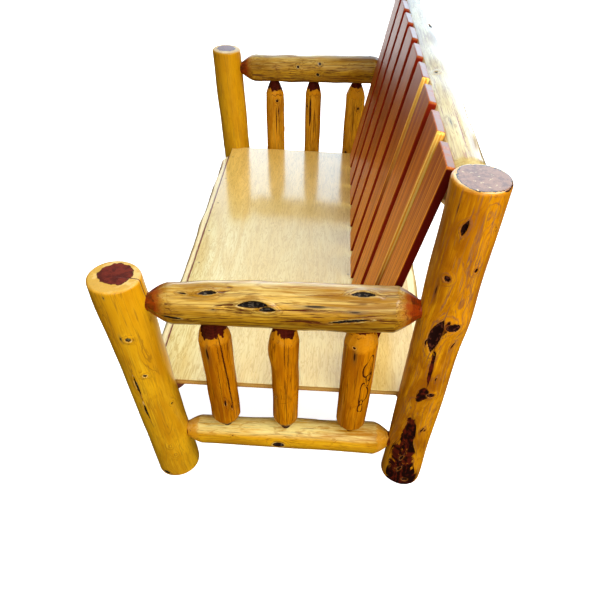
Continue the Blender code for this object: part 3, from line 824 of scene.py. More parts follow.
@dataclass
class Log:
    """A peeled log that stands for one CAD node: turned by spin, then carved with its natural marks."""

    node: str
    slot: str
    lie: Lie
    seed: int
    heart: float = 0.62
    # pale is partly an even paler tone and partly painted light, strongest on the log's upper side.
    pale: float = 0.0
    lit_side_angle: float = -100.0
    pale_and_lit_side_share: tuple[float, float] = (0.45, 0.75)
    # shade darkens the upper half of the log towards the deep colour: painted shade.
    shade: float = 0.0
    ripple: float = 0.0012
    marks: tuple[Mark, ...] = ()
    pith: tuple[float, float] = (0.0, 0.0)
    stray_marks: int = 6
    stray_from: float = 100.0
    stray_to: float = 260.0
    step: float = 0.0032

    def __post_init__(self) -> None:
        """Read the log's place and size from its CAD node."""
        points = node_points(self.node)
        self.axes = np.array(self.lie.value, float)
        self.origin = np.zeros(3)
        self.lay(points)
        self.cad = (points - self.origin) @ self.axes.T
        self.low = float(self.cad[:, 2].min())
        self.high = float(self.cad[:, 2].max())
        self.rng = np.random.default_rng(self.seed)

    def lay(self, points: np.ndarray) -> None:
        """Find the point of the log's axis from which its length is measured, and the axis itself."""
        raise NotImplementedError

    def cad_radius(self, place: float) -> float:
        """Measure the CAD log's nearest ring to a place on its length.

        Args:
            place: The place, in metres.

        Returns:
            The ring's radius.
        """
        away = np.abs(self.cad[:, 2] - place)
        near = away < away.min() + RING_SLACK
        return float(np.hypot(self.cad[near, 0], self.cad[near, 1]).max())

    def outline(self) -> list[tuple[float, float]]:
        """Return the outline that is spun, as (radius, place) pairs from the low end to the high end."""
        raise NotImplementedError

    def skin(self, theta: np.ndarray, along: np.ndarray, radius: np.ndarray) -> tuple[np.ndarray, np.ndarray]:
        """Return the radius with the log's own unevenness, and how far each point is a shaved one."""
        raise NotImplementedError

    def body(self) -> float:
        """Return the log's usual radius."""
        raise NotImplementedError

    def spun(self) -> bpy.types.Mesh:
        """Spin the log's outline about its own axis.

        Returns:
            The smooth log.
        """
        shape = bmesh.new()
        points = [shape.verts.new((radius, 0.0, place)) for radius, place in self.outline()]
        for first, second in zip(points, points[1:]):
            shape.edges.new((first, second))
        quarter = round(TURN * self.body() / ring_step(self.step) / 4)
        bmesh.ops.spin(shape, geom=shape.verts[:] + shape.edges[:], cent=(0, 0, 0), axis=(0, 0, 1),
                       dvec=(0, 0, 0), angle=TURN, steps=max(LEAST_SIDES, 4 * quarter), use_merge=True)
        bmesh.ops.remove_doubles(shape, verts=shape.verts, dist=WELD)
        bmesh.ops.recalc_face_normals(shape, faces=shape.faces)
        return to_mesh(shape, self.node + "_log")

    def all_marks(self) -> list[Mark]:
        """Add a few seeded marks on the side that the photograph hides.

        Returns:
            The log's own marks and the seeded ones.
        """
        marks = list(self.marks)
        kinds = list(STRAY_SIZES)
        for _ in range(self.stray_marks):
            kind = kinds[self.rng.choice(len(kinds), p=STRAY_ODDS)]
            along = self.rng.uniform(self.low + STRAY_MARGIN, self.high - STRAY_MARGIN)
            angle = self.rng.uniform(self.stray_from, self.stray_to)
            size = self.rng.uniform(*STRAY_RANGE)
            length, width, depth = STRAY_SIZES[kind]
            marks.append(Mark(kind, along, angle, length * size, width * size, depth))
        return marks

    def build(self, material: bpy.types.Material) -> bpy.types.Object:
        """Carve the spun log and put it in its place.

        Args:
            material: The log's finish.

        Returns:
            The piece that stands for the CAD node.
        """
        mesh = self.spun()
        points = mesh_points(mesh)
        theta = np.arctan2(points[:, 1], points[:, 0])
        along = points[:, 2]
        radius, shaved = self.skin(theta, along, np.hypot(points[:, 0], points[:, 1]))
        skin = Surface(theta, along, radius)
        for mark in self.all_marks():
            skin.press(mark)
        # Marks fade out towards the middle of a sawn end.
        carved = radius + skin.lift * np.clip(radius / self.body() * 1.6 - 0.6, 0, 1)
        local = np.column_stack((carved * np.cos(theta), carved * np.sin(theta), along))
        local, shaved = self.plane(local, shaved)
        self.dress(mesh, skin, local, shaved)
        placed = self.settle(local) @ self.axes + self.origin
        mesh.vertices.foreach_set("co", placed.astype(np.float32).ravel())
        mesh.shade_smooth()
        mesh.update()
        return add_piece(self.node + "_log", mesh, material, (self.node,))

    def dress(self, mesh: bpy.types.Mesh, skin: Surface, local: np.ndarray, shaved: np.ndarray) -> None:
        """Store what the finish reads: the place in the wood, the marks, the cracks and the tone.

        Args:
            mesh: The log's mesh.
            skin: Its skin with all marks.
            local: Its carved points about its own axis.
            shaved: How far each point is a cut one.
        """
        depth = np.hypot(local[:, 0], local[:, 1]) + skin.ring
        twist = skin.theta + skin.turn
        place = skin.along + SEED_OFFSET * self.seed
        store(mesh, "wood", np.column_stack((depth * np.cos(twist), depth * np.sin(twist), place)))
        store(mesh, "marks", np.column_stack((skin.hollow, skin.scar, shaved)))
        store(mesh, "crack", skin.crack_field())
        core = np.hypot(local[:, 0] - self.pith[0], local[:, 1] - self.pith[1]) / (self.body() * self.heart)
        # Painted light: the upper side is painted paler, beside an even paler share.
        even, one_sided = self.pale_and_lit_side_share
        pale_with_painted_light_and_shade = even + one_sided * np.cos(skin.theta - math.radians(self.lit_side_angle))
        pale_with_painted_light_and_shade = np.clip(pale_with_painted_light_and_shade, 0, 1) * self.pale
        # Painted shade: the upper half is darkened, stored as a negative pale.
        pale_with_painted_light_and_shade -= self.shade * np.clip(2 * (skin.along - self.low) / (self.high - self.low) - 1, 0, 1)
        store(mesh, "tone", np.column_stack((core, skin.stain, pale_with_painted_light_and_shade)))

    def plane(self, local: np.ndarray, shaved: np.ndarray) -> tuple[np.ndarray, np.ndarray]:
        """Return the points and their shaved share after any planing."""
        return local, shaved

    def settle(self, local: np.ndarray) -> np.ndarray:
        """Return the points after any lean of the whole log."""
        return local

    def unevenness(self, theta: np.ndarray, along: np.ndarray) -> np.ndarray:
        """Work out the slow natural swellings of the log.

        Args:
            theta: The points' angles round the log.
            along: Their places on its length.

        Returns:
            How far each point stands out, in metres.
        """
        total = np.zeros_like(theta)
        for lobes, share in SWELLINGS:
            turn, drift = self.rng.uniform(0, TURN, 2)
            wave = self.rng.uniform(*SWELLING_WAVES) / math.sqrt(lobes)
            total += share * np.cos(lobes * theta + turn) * np.cos(TURN * along / wave + drift)
        return total * self.ripple * SWELLING_SHARE


def places(start: float, end: float, step: float) -> list[float]:
    """Return evenly spread places from start to end, both included, about a step apart."""
    count = max(1, math.ceil(abs(end - start) / step))
    return [start + (end - start) * number / count for number in range(count + 1)]


@dataclass
class Post(Log):
    """An upright log with sawn ends, eased at their rims, that may lean forward as it rises."""

    edge: float = 0.006
    gauge: float = 0.005

    def lay(self, points: np.ndarray) -> None:
        """Measure from the middle of the post's foot."""
        foot = points[points[:, 2] < END_RING]
        self.origin = np.array((*(foot.min(0) + foot.max(0))[:2] / 2, 0.0))

    def __post_init__(self) -> None:
        """Read the radii and the lean from the CAD post's rings."""
        super().__post_init__()
        head = self.cad[self.cad[:, 2] > self.high - END_RING]
        self.lean = float((head[:, 1].min() + head[:, 1].max()) / 2)
        upper = self.cad[np.abs(self.cad[:, 2] - self.high + self.gauge) < RING_SLACK]
        lower = self.cad[np.abs(self.cad[:, 2] - self.gauge) < RING_SLACK]
        self.top_radius = float(np.ptp(upper[:, 0]) / 2)
        self.foot_radius = float(np.ptp(lower[:, 0]) / 2)

    def body(self) -> float:
        """Return the post's middle radius."""
        return (self.foot_radius + self.top_radius) / 2

    def taper(self, along: np.ndarray | float) -> np.ndarray | float:
        """Return the post's radius at a height."""
        return self.foot_radius + (self.top_radius - self.foot_radius) * along / self.high

    def outline(self) -> list[tuple[float, float]]:
        """Draw the post: sawn foot, eased rims and sawn top.

        Returns:
            The outline, as (radius, place) pairs.
        """
        step = ring_step(self.step)
        foot = self.foot_radius - self.edge
        top = self.top_radius - self.edge
        points = [(radius, 0.0) for radius in places(0.0, foot, step * FOOT_STEP)]
        points += [(foot + self.edge * math.sin(bend), self.edge * (1 - math.cos(bend)))
                   for bend in EASED_BENDS]
        rise = places(self.edge, self.high - self.edge, step)[1:]
        points += [(self.taper(place), place) for place in rise]
        points += [(top + self.edge * math.cos(bend), self.high - self.edge * (1 - math.sin(bend)))
                   for bend in EASED_BENDS]
        points += [(radius, self.high) for radius in places(top, 0.0, step)[1:]]
        return points

    def skin(self, theta: np.ndarray, along: np.ndarray, radius: np.ndarray) -> tuple[np.ndarray, np.ndarray]:
        """Make the post uneven.

        Args:
            theta: The points' angles round the log.
            along: Their places on its length.
            radius: Their radius in the outline.

        Returns:
            The uneven radius, and 1 on the sawn ends.
        """
        swell = 1 + self.unevenness(theta, along) / self.taper(along)
        inside = np.clip((self.taper(along) - radius) / self.edge, 0, 1)
        return radius * swell, inside

    def settle(self, local: np.ndarray) -> np.ndarray:
        """Lean the post.

        Args:
            local: The points about the post's own axis.

        Returns:
            The points after the lean.
        """
        local = local.copy()
        local[:, 1] += self.lean * local[:, 2] / self.high
        return local


@dataclass
class TenonedLog(Log):
    """A log shaved at both ends to a shoulder of flat knife cuts and a round tenon."""

    tenon: float = 0.045
    lead: float = 0.012
    shoulders: tuple[float, float] = (0.058, 0.058)
    shaving: float = 0.002
    knife_cuts: int = 13
    roundness: tuple[float, float] = (0.5, 0.5)

    def __post_init__(self) -> None:
        """Read the radii from the CAD log's rings."""
        super().__post_init__()
        self.starts = (self.low + self.tenon, self.high - self.tenon)
        self.creases = (self.starts[0] + self.shoulders[0], self.starts[1] - self.shoulders[1])
        self.radii = tuple(self.cad_radius(crease) for crease in self.creases)
        self.tenon_radii = (self.cad_radius(self.low), self.cad_radius(self.high))

    def lay(self, points: np.ndarray) -> None:
        """Run the axis through the middles of the end rings, from the front posts or the frame's middle.

        Args:
            points: The CAD node's vertices.
        """
        along = self.axes[2]
        place = points @ along
        rings = [points[np.abs(place - end) < END_RING] for end in (place.min(), place.max())]
        first, last = ((ring.min(0) + ring.max(0)) / 2 for ring in rings)
        course = (last - first) / np.linalg.norm(last - first)
        start = place.min() - self.lead if self.lie is Lie.CROSSWISE else 0.0
        self.origin = first + course * (start - first @ along) / (course @ along)
        self.axes = np.array((self.axes[0], np.cross(course, self.axes[0]), course))

    def body(self) -> float:
        """Return the log's middle radius."""
        return sum(self.radii) / 2

    def taper(self, along: np.ndarray | float) -> np.ndarray | float:
        """Return the radius of the peeled log at a place."""
        share = (along - self.creases[0]) / (self.creases[1] - self.creases[0])
        return self.radii[0] + (self.radii[1] - self.radii[0]) * share

    def cone(self, along: np.ndarray, end: int) -> np.ndarray:
        """Shape one end's shaved shoulder, carried on past where it leaves the log.

        Args:
            along: The points' places on the log's length.
            end: 0 for the low end, 1 for the high end.

        Returns:
            The shoulder's radius.
        """
        away = (along - self.starts[0]) if end == 0 else (self.starts[1] - along)
        share = away / self.shoulders[end]
        bullet = np.sin(0.5 * math.pi * np.clip(share, 0, 1)) + np.maximum(share - 1, 0) * 0.5
        rise = share + (bullet - share) * self.roundness[end]
        return self.tenon_radii[end] + (self.radii[end] - self.tenon_radii[end]) * np.maximum(rise, 0.0)

    def outline(self) -> list[tuple[float, float]]:
        """Draw the log from the end of one tenon to the end of the other.

        Returns:
            The outline, as (radius, place) pairs.
        """
        step = ring_step(self.step)
        tenon_end, shoulder_start = MOUTH
        first, last = self.starts
        along = places(self.low, first - tenon_end, TENON_STEP)
        along += places(first - shoulder_start, last + shoulder_start, step)
        along += places(last + tenon_end, self.high, TENON_STEP)
        spots = np.array(along)
        radii = np.minimum(self.taper(spots), np.minimum(self.cone(spots, 0), self.cone(spots, 1)))
        points = [(0.0, self.low)]
        points += [(float(radius), place) for radius, place in zip(radii, along)]
        return points + [(0.0, self.high)]

    def facets(self, theta: np.ndarray) -> np.ndarray:
        """Work out how flat knife cuts change a round shoulder.

        Args:
            theta: The points' angles round the log.

        Returns:
            A factor near 1 for the radius.
        """
        widths = self.rng.uniform(*KNIFE_WIDTHS, self.knife_cuts)
        middles = np.cumsum(widths) / widths.sum() * TURN + self.rng.uniform(0, TURN)
        away = theta[:, None] - middles[None, :]
        away = np.abs(np.arctan2(np.sin(away), np.cos(away))).min(1)
        return FACET_FLAT / np.cos(np.minimum(away, FACET_HALF))

    def skin(self, theta: np.ndarray, along: np.ndarray, radius: np.ndarray) -> tuple[np.ndarray, np.ndarray]:
        """Make the log uneven, and cut its shoulders.

        Args:
            theta: The points' angles round the log.
            along: Their places on its length.
            radius: Their radius in the outline.

        Returns:
            The uneven radius with its knife-cut shoulders, and 1 where it is shaved.
        """
        peeled = self.taper(along) + self.unevenness(theta, along)
        cones = [self.cone(along, end) for end in (0, 1)]
        inner = [np.clip((cone - tenon) / FACET_EDGE, 0, 1) for cone, tenon in zip(cones, self.tenon_radii)]
        cuts = [cone * (1 + (self.facets(theta) - 1) * fade) for cone, fade in zip(cones, inner)]
        cut = np.minimum(*cuts)
        result = np.minimum(peeled, cut)
        result = np.where(radius < WELD, 0.0, result)
        shaved = np.clip((peeled - cut) / self.shaving, 0, 1)
        return result, shaved


@dataclass
class PlanedRail(TenonedLog):
    """A tenoned log along the sofa with one side planed flat."""

    flat_angle: float = 0.0

    def __post_init__(self) -> None:
        """Read how far the flat lies from the axis."""
        super().__post_init__()
        angle = math.radians(self.flat_angle)
        self.facing = np.array((math.cos(angle), math.sin(angle)))
        self.flat = float((self.cad[:, :2] @ self.facing).max())

    def plane(self, local: np.ndarray, shaved: np.ndarray) -> tuple[np.ndarray, np.ndarray]:
        """Plane the flat.

        Args:
            local: The points about the log's own axis.
            shaved: How far each point is a cut one.

        Returns:
            The points with the flat planed off, and 1 where it or a shoulder is cut.
        """
        over = np.maximum(local[:, :2] @ self.facing - self.flat, 0.0)
        local = local.copy()
        local[:, :2] -= over[:, None] * self.facing[None, :]
        return local, np.maximum(shaved, np.clip(over / PLANED_EDGE, 0, 1))


EYE, KNOT, SCAR, CRACK, STAIN, SWELL, BOW, RING, LOOP = MarkKind

FRONT_POST_MARKS = (
    Mark(KNOT, 0.555, 9, 0.011, 0.012, 0.005),
    Mark(STAIN, 0.558, -7, 0.024, 0.008),
    Mark(KNOT, 0.435, 17, 0.008, 0.009, 0.004),
    Mark(EYE, 0.398, -10, 0.070, 0.0060, 0.003, twist=-2),
    Mark(EYE, 0.296, -9, 0.076, 0.0060, 0.003, twist=-2),
    Mark(KNOT, 0.303, 58, 0.007, 0.006, 0.003),
    Mark(KNOT, 0.016, -14, 0.016, 0.020, 0.003),
    Mark(BOW, 0.000, 37, 0.360, 0.100, 0.012),
    Mark(BOW, 0.685, -90, 0.300, 0.100, 0.005),
    Mark(SWELL, 0.590, 82, 0.200, 0.080, 0.0060),
    Mark(CRACK, 0.668, 84, 0.090, 0.0034, 0.002),
    Mark(SWELL, 0.145, 18, 0.030, 0.026, 0.0016),
    Mark(SWELL, 0.105, 24, 0.026, 0.028, 0.0014),
    Mark(RING, 0.145, 18, 0.032, 0.022, 0.006),
    Mark(RING, 0.105, 24, 0.034, 0.024, 0.006),
    Mark(RING, 0.500, 38, 0.120, 0.030, 0.005),
    Mark(RING, 0.235, 30, 0.070, 0.022, 0.004),
    Mark(RING, 0.600, -30, 0.090, 0.024, 0.004),
    Mark(STAIN, 0.672, -11, 0.012, 0.005),
)
BACK_POST_MARKS = (
    Mark(EYE, 0.875, -22, 0.034, 0.010, 0.005, twist=6),
    Mark(STAIN, 0.905, -45, 0.050, 0.005),
    Mark(KNOT, 0.762, -30, 0.013, 0.013, 0.005),
    Mark(STAIN, 0.726, -47, 0.060, 0.008),
    Mark(KNOT, 0.786, 23, 0.010, 0.007, 0.003),
    Mark(CRACK, 0.800, 24, 0.040, 0.002, 0.001),
    Mark(EYE, 0.612, -18, 0.100, 0.027, 0.005, twist=10),
    Mark(SCAR, 0.640, -6, 0.040, 0.012, 0.001, twist=8),
    Mark(KNOT, 0.642, 11, 0.021, 0.029, 0.005),
    Mark(EYE, 0.589, 24, 0.024, 0.005, 0.002, twist=8),
    Mark(EYE, 0.585, -38, 0.018, 0.004, 0.002),
    Mark(SCAR, 0.515, -11, 0.125, 0.009, 0.001, twist=-5),
    Mark(EYE, 0.478, 8, 0.018, 0.004, 0.002),
    Mark(SCAR, 0.420, -14, 0.050, 0.024, 0.002, twist=6),
    Mark(KNOT, 0.420, 7, 0.013, 0.018, 0.004),
    Mark(SCAR, 0.235, -20, 0.200, 0.034, 0.002),
    Mark(SCAR, 0.120, -20, 0.190, 0.074, 0.002),
    Mark(SCAR, 0.040, -10, 0.130, 0.092, 0.002),
    Mark(EYE, 0.140, -20, 0.026, 0.007, 0.003, twist=6),
    Mark(EYE, 0.082, -18, 0.030, 0.008, 0.003, twist=8),
    Mark(KNOT, 0.034, 4, 0.014, 0.016, 0.004),
    Mark(EYE, 0.280, 12, 0.022, 0.005, 0.003, twist=8),
    Mark(SCAR, 0.276, 20, 0.012, 0.006, 0.001),
    Mark(RING, 0.905, 22, 0.060, 0.036, 0.006),
    Mark(RING, 0.835, 6, 0.110, 0.030, 0.005),
    Mark(RING, 0.700, 18, 0.100, 0.034, 0.005),
    Mark(RING, 0.360, -32, 0.090, 0.030, 0.005),
    Mark(SWELL, 0.640, 48, 0.120, 0.080, 0.0030),
    Mark(SWELL, 0.040, 40, 0.120, 0.080, 0.0040),
)
ARM_MARKS = (
    Mark(EYE, 0.141, -65, 0.022, 0.0040, 0.002, twist=4),
    Mark(EYE, 0.194, -66, 0.042, 0.0106, 0.006, twist=-4),
    Mark(CRACK, 0.227, -73, 0.036, 0.0036, 0.003, twist=-9),
    Mark(CRACK, 0.239, -87, 0.014, 0.0030, 0.001),
    Mark(CRACK, 0.234, -38, 0.056, 0.0042, 0.004, twist=-8),
    Mark(EYE, 0.290, -38, 0.066, 0.0145, 0.009, twist=-2),
    Mark(EYE, 0.321, -27, 0.037, 0.0106, 0.007),
    Mark(CRACK, 0.372, -28, 0.080, 0.0024, 0.002),
    Mark(CRACK, 0.430, -30, 0.110, 0.0012, 0.001, wander=0.0005),
    Mark(EYE, 0.519, -71, 0.056, 0.0135, 0.007),
    Mark(CRACK, 0.572, -73, 0.062, 0.0018, 0.002, twist=-7),
    Mark(CRACK, 0.430, -68, 0.115, 0.0012, 0.001, wander=0.0005),
    Mark(CRACK, 0.395, 1, 0.095, 0.0036, 0.002, twist=-6, wander=0.0005),
    Mark(CRACK, 0.375, -5, 0.052, 0.0016, 0.001),
    Mark(EYE, 0.492, -5, 0.096, 0.0060, 0.003, twist=-13),
    Mark(CRACK, 0.570, -8, 0.072, 0.0028, 0.001, twist=5),
    Mark(CRACK, 0.424, -13, 0.036, 0.0020, 0.001),
    Mark(CRACK, 0.529, -19, 0.082, 0.0022, 0.001, twist=-9, wander=0.0005),
    Mark(EYE, 0.116, 2, 0.052, 0.0055, 0.002, twist=5),
    Mark(CRACK, 0.137, 23, 0.066, 0.0014, 0.001),
    Mark(CRACK, 0.166, 23, 0.013, 0.0030, 0.001),
    Mark(STAIN, 0.504, -28, 0.048, 0.0060),
    Mark(STAIN, 0.425, -40, 0.085, 0.0080),
    Mark(STAIN, 0.208, -27, 0.018, 0.0070),
    Mark(STAIN, 0.462, 33, 0.014, 0.0060),
    Mark(SWELL, 0.250, -131, 0.180, 0.080, 0.0040),
    Mark(SWELL, 0.125, -131, 0.100, 0.070, -0.0028),
    Mark(SWELL, 0.470, 49, 0.280, 0.100, 0.0062),
    Mark(SWELL, 0.240, -48, 0.090, 0.030, 0.0024),
)
LOWER_RAIL_MARKS = (
    Mark(KNOT, 0.317, 0, 0.032, 0.020, 0.002),
    Mark(KNOT, 0.470, -38, 0.004, 0.003, 0.001),
    Mark(KNOT, 0.190, -34, 0.004, 0.003, 0.001),
    Mark(CRACK, 0.500, 30, 0.120, 0.0014, 0.001),
    Mark(SWELL, 0.210, -70, 0.100, 0.060, 0.0020),
    Mark(SWELL, 0.545, -20, 0.090, 0.060, 0.0020),
)
SPINDLE_MARKS = (
    (
        Mark(CRACK, 0.430, 38, 0.350, 0.0036, 0.003, twist=-26, wander=0.0006),
        Mark(STAIN, 0.500, -19, 0.070, 0.013),
        Mark(CRACK, 0.400, 8, 0.170, 0.0012, 0.001, wander=0.0008),
        Mark(EYE, 0.322, 18, 0.028, 0.004, 0.002),
        Mark(CRACK, 0.360, -25, 0.060, 0.0016, 0.001),
        Mark(CRACK, 0.505, 18, 0.080, 0.0012, 0.001, wander=0.0008),
        Mark(EYE, 0.300, 42, 0.020, 0.004, 0.002),
    ),
    (
        Mark(SWELL, 0.490, -88, 0.080, 0.060, 0.0060),
        Mark(CRACK, 0.510, 4, 0.130, 0.0010, 0.001, wander=0.0006),
        Mark(CRACK, 0.330, -2, 0.012, 0.0022, 0.001, twist=60),
        Mark(KNOT, 0.346, -41, 0.005, 0.005, 0.002),
        Mark(CRACK, 0.270, 10, 0.080, 0.0012, 0.001),
        Mark(CRACK, 0.420, 14, 0.070, 0.0010, 0.001, wander=0.0008),
    ),
    (
        Mark(KNOT, 0.545, -28, 0.006, 0.008, 0.002),
        Mark(KNOT, 0.589, -34, 0.012, 0.010, 0.002),
        Mark(LOOP, 0.476, 36, 0.078, 0.026, 0.0014),
        Mark(LOOP, 0.440, 40, 0.040, 0.014, 0.0012),
        Mark(LOOP, 0.388, 27, 0.076, 0.022, 0.0014),
        Mark(LOOP, 0.340, 22, 0.046, 0.012, 0.0012),
        Mark(CRACK, 0.455, 44, 0.090, 0.0018, 0.001, wander=0.0010),
        Mark(KNOT, 0.589, 44, 0.014, 0.012, 0.002),
        Mark(STAIN, 0.520, -22, 0.060, 0.010),
    ),
)
FAR_SPINDLE_MARKS = (
    (
        Mark(CRACK, 0.430, 12, 0.120, 0.0040, 0.002),
        Mark(EYE, 0.470, 30, 0.050, 0.006, 0.002),
    ),
    (
        Mark(SCAR, 0.470, -20, 0.120, 0.008, 0.001),
        Mark(SCAR, 0.430, 12, 0.140, 0.005, 0.001),
        Mark(CRACK, 0.420, 25, 0.150, 0.0026, 0.002),
    ),
    (
        Mark(CRACK, 0.450, -5, 0.160, 0.0022, 0.002),
        Mark(KNOT, 0.500, 20, 0.012, 0.010, 0.003),
    ),
)
TOP_RAIL_MARKS = (
    Mark(CRACK, 0.480, -4, 0.260, 0.0018, 0.002, wander=0.0008),
    Mark(STAIN, 0.450, 14, 0.060, 0.006),
    Mark(KNOT, 0.150, 10, 0.010, 0.010, 0.003),
    Mark(EYE, -0.250, -20, 0.050, 0.010, 0.004),
)
FRONT_RAIL_MARKS = (
    Mark(SCAR, -0.612, 12, 0.020, 0.014, 0.001),
    Mark(SWELL, -0.120, 70, 0.100, 0.060, 0.0040),
    Mark(SWELL, 0.330, 60, 0.120, 0.060, 0.0030),
    Mark(EYE, 0.240, 78, 0.050, 0.009, 0.004),
    Mark(KNOT, -0.380, 64, 0.012, 0.011, 0.003),
)


@dataclass(frozen=True)
class LogLooks:
    """The finish of each kind of log."""

    front_post: bpy.types.Material
    back_post: bpy.types.Material
    arm: bpy.types.Material
    lower_rail: bpy.types.Material
    long_rail: bpy.types.Material
    top_rail: bpy.types.Material
    spindle: bpy.types.Material


@dataclass
class EndFrame:
    """One end of the sofa: two posts, an arm rail, a lower rail and three spindles."""

    side: str
    seed: int
    near: bool
    near_step: float = 0.0022
    far_step: float = 0.0040
    arm_shoulders: tuple[float, float] = (0.058, 0.052)
    arm_roundness: tuple[float, float] = (0.9, 0.4)
    lower_shoulders: tuple[float, float] = (0.040, 0.040)
    spindle_shoulders: tuple[float, float] = (0.044, 0.053)
    spindle_roundness: tuple[float, float] = (0.12, 0.5)
    spindle_tenon: float = 0.030
    spindle_hearts: tuple[float, ...] = (0.80, 0.80, 0.60)

    def strays(self, count: int, start: float = 105.0, end: float = 255.0) -> dict[str, object]:
        """Choose how fine a log is and where it gets seeded marks.

        Args:
            count: How many marks it gets at the near end.
            start: The first angle of the side that the photograph hides.
            end: The last angle of it.

        Returns:
            Settings for the log: at the near end the marks are on the hidden side only.
        """
        if self.near:
            return {"stray_marks": count, "stray_from": start, "stray_to": end, "step": self.near_step}
        return {"stray_marks": 2 * count, "stray_from": 0.0, "stray_to": 360.0, "step": self.far_step}

    def build(self, looks: LogLooks) -> list[bpy.types.Object]:
        """Build the end's logs.

        Args:
            looks: The logs' finishes.

        Returns:
            The pieces.
        """
        made = [log.build(look) for log, look in zip(self.posts(), (looks.front_post, looks.back_post))]
        made += [log.build(look) for log, look in zip(self.rails(), (looks.arm, looks.lower_rail))]
        made += [log.build(looks.spindle) for log in self.spindle_logs()]
        return made

    def posts(self) -> list[Log]:
        """Describe the posts.

        Returns:
            The front and the back post.
        """
        front = Post(f"front_post_{self.side}", "post_log", Lie.UPRIGHT, self.seed + 1, heart=0.63,
                     marks=FRONT_POST_MARKS if self.near else (), ripple=0.0009,
                     pith=(-0.008, -0.002), shade=0.55, **self.strays(5))
        back = Post(f"back_post_{self.side}", "post_log", Lie.UPRIGHT, self.seed + 2, heart=0.86,
                    marks=BACK_POST_MARKS if self.near else (), ripple=0.0010, pith=(0.001, 0.003),
                    shade=0.30, **self.strays(7))
        return [front, back]

    def rails(self) -> list[Log]:
        """Describe the end's rails.

        Returns:
            The arm rail and the lower rail.
        """
        arm = TenonedLog(f"arm_rail_{self.side}", "rail_log", Lie.CROSSWISE, self.seed + 3, heart=0.70,
                         pale=0.75, lit_side_angle=-125.0, ripple=0.0014, marks=ARM_MARKS if self.near else (),
                         shoulders=self.arm_shoulders, roundness=self.arm_roundness, shaving=0.010,
                         **self.strays(6, 65.0, 210.0))
        lower = TenonedLog(f"lower_end_rail_{self.side}", "rail_log", Lie.CROSSWISE, self.seed + 4,
                           heart=0.56, pale=1.0, lit_side_angle=-120.0, pale_and_lit_side_share=(0.00, 2.20), ripple=0.0010,
                           marks=LOWER_RAIL_MARKS if self.near else (),
                           shoulders=self.lower_shoulders, **self.strays(3, 65.0, 210.0))
        return [arm, lower]

    def spindle_logs(self) -> list[Log]:
        """Describe the spindles.

        Returns:
            The spindles, front one first.
        """
        marks = SPINDLE_MARKS if self.near else FAR_SPINDLE_MARKS
        return [
            TenonedLog(f"spindle_{self.side}_{number + 1}", "spindle_log", Lie.UPRIGHT,
                       self.seed + 5 + number, heart=heart, ripple=0.0008, marks=marks[number],
                       tenon=self.spindle_tenon, shoulders=self.spindle_shoulders,
                       roundness=self.spindle_roundness, **self.strays(3))
            for number, heart in enumerate(self.spindle_hearts)
        ]


@dataclass
class Board:
    """A sawn board or panel that stands for one CAD node, with finely eased edges."""

    node: str
    slot: str
    along: tuple[float, float, float]
    seed: int
    ease: float = 0.0010
    tone: float = 0.5
    sapwood: float = 0.0
    eased_angle: float = 50.0
    flat_area: float = 0.001
    # fade darkens the board towards its top end: painted shade.
    fade: float = 0.0

    def axes(self, points: np.ndarray) -> np.ndarray:
        """Find the board's own directions.

        Args:
            points: The board's vertices.

        Returns:
            Its directions as rows: along it, across it and through it.
        """
        along = np.array(self.along, float)
        spread = points - points.mean(0)
        across_axes = np.linalg.svd(spread - np.outer(spread @ along, along), full_matrices=False)[2][:2]
        across = across_axes[0] * (1 if across_axes[0].sum() > 0 else -1)
        through = np.cross(along, across)
        return np.array((along, across, through if through[2] > 0 else -through))

    def build(self, material: bpy.types.Material) -> bpy.types.Object:
        """Build the board from its CAD node.

        Args:
            material: The board's finish.

        Returns:
            The piece that stands for the node.
        """
        shape = bmesh.new()
        shape.from_mesh(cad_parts[self.node].data)
        bmesh.ops.remove_doubles(shape, verts=shape.verts, dist=WELD)
        bmesh.ops.dissolve_limit(shape, angle_limit=FLAT_BEND, verts=shape.verts, edges=shape.edges)
        sharp = [edge for edge in shape.edges if edge.calc_face_angle(0.0) > math.radians(self.eased_angle)]
        bmesh.ops.bevel(shape, geom=sharp, offset=self.ease, offset_type="OFFSET", segments=3, profile=0.5,
                        affect="EDGES", material=-1, clamp_overlap=True)
        bmesh.ops.recalc_face_normals(shape, faces=shape.faces)
        mesh = to_mesh(shape, self.node + "_board")
        mesh.polygons.foreach_set("use_smooth", [face.area < self.flat_area for face in mesh.polygons])
        self.dress(mesh, mesh_points(mesh))
        return add_piece(self.node + "_board", mesh, material, (self.node,))

    def dress(self, mesh: bpy.types.Mesh, points: np.ndarray) -> None:
        """Store the board's own coordinates, measured from its middle, and its tone.

        Args:
            mesh: The board's mesh.
            points: Its vertices.
        """
        axes = self.axes(points)
        local = points @ axes.T
        local -= (local.min(0) + local.max(0)) / 2
        reach = local[:, 0].max()
        # Painted shade: the tone falls towards the board's top end.
        shade = self.tone - self.fade * local[:, 0] / reach
        end = local[:, 0] > reach - self.ease / 3
        sap = self.sapwood * (local[:, 0] / reach + 1) / 2
        store(mesh, "tone", np.column_stack((shade, sap, end)))
        local[:, 0] += SEED_OFFSET * self.seed
        store(mesh, "wood", local)


@dataclass
class Panel(Board):
    """A deck panel, whose depth is measured from its top face."""

    def dress(self, mesh: bpy.types.Mesh, points: np.ndarray) -> None:
        """Store the place on the deck and the depth under its top.

        Args:
            mesh: The panel's mesh.
            points: Its vertices.
        """
        local = points.copy()
        local[:, 2] -= points[:, 2].max()
        local[:, 0] += SEED_OFFSET * self.seed
        store(mesh, "wood", local)


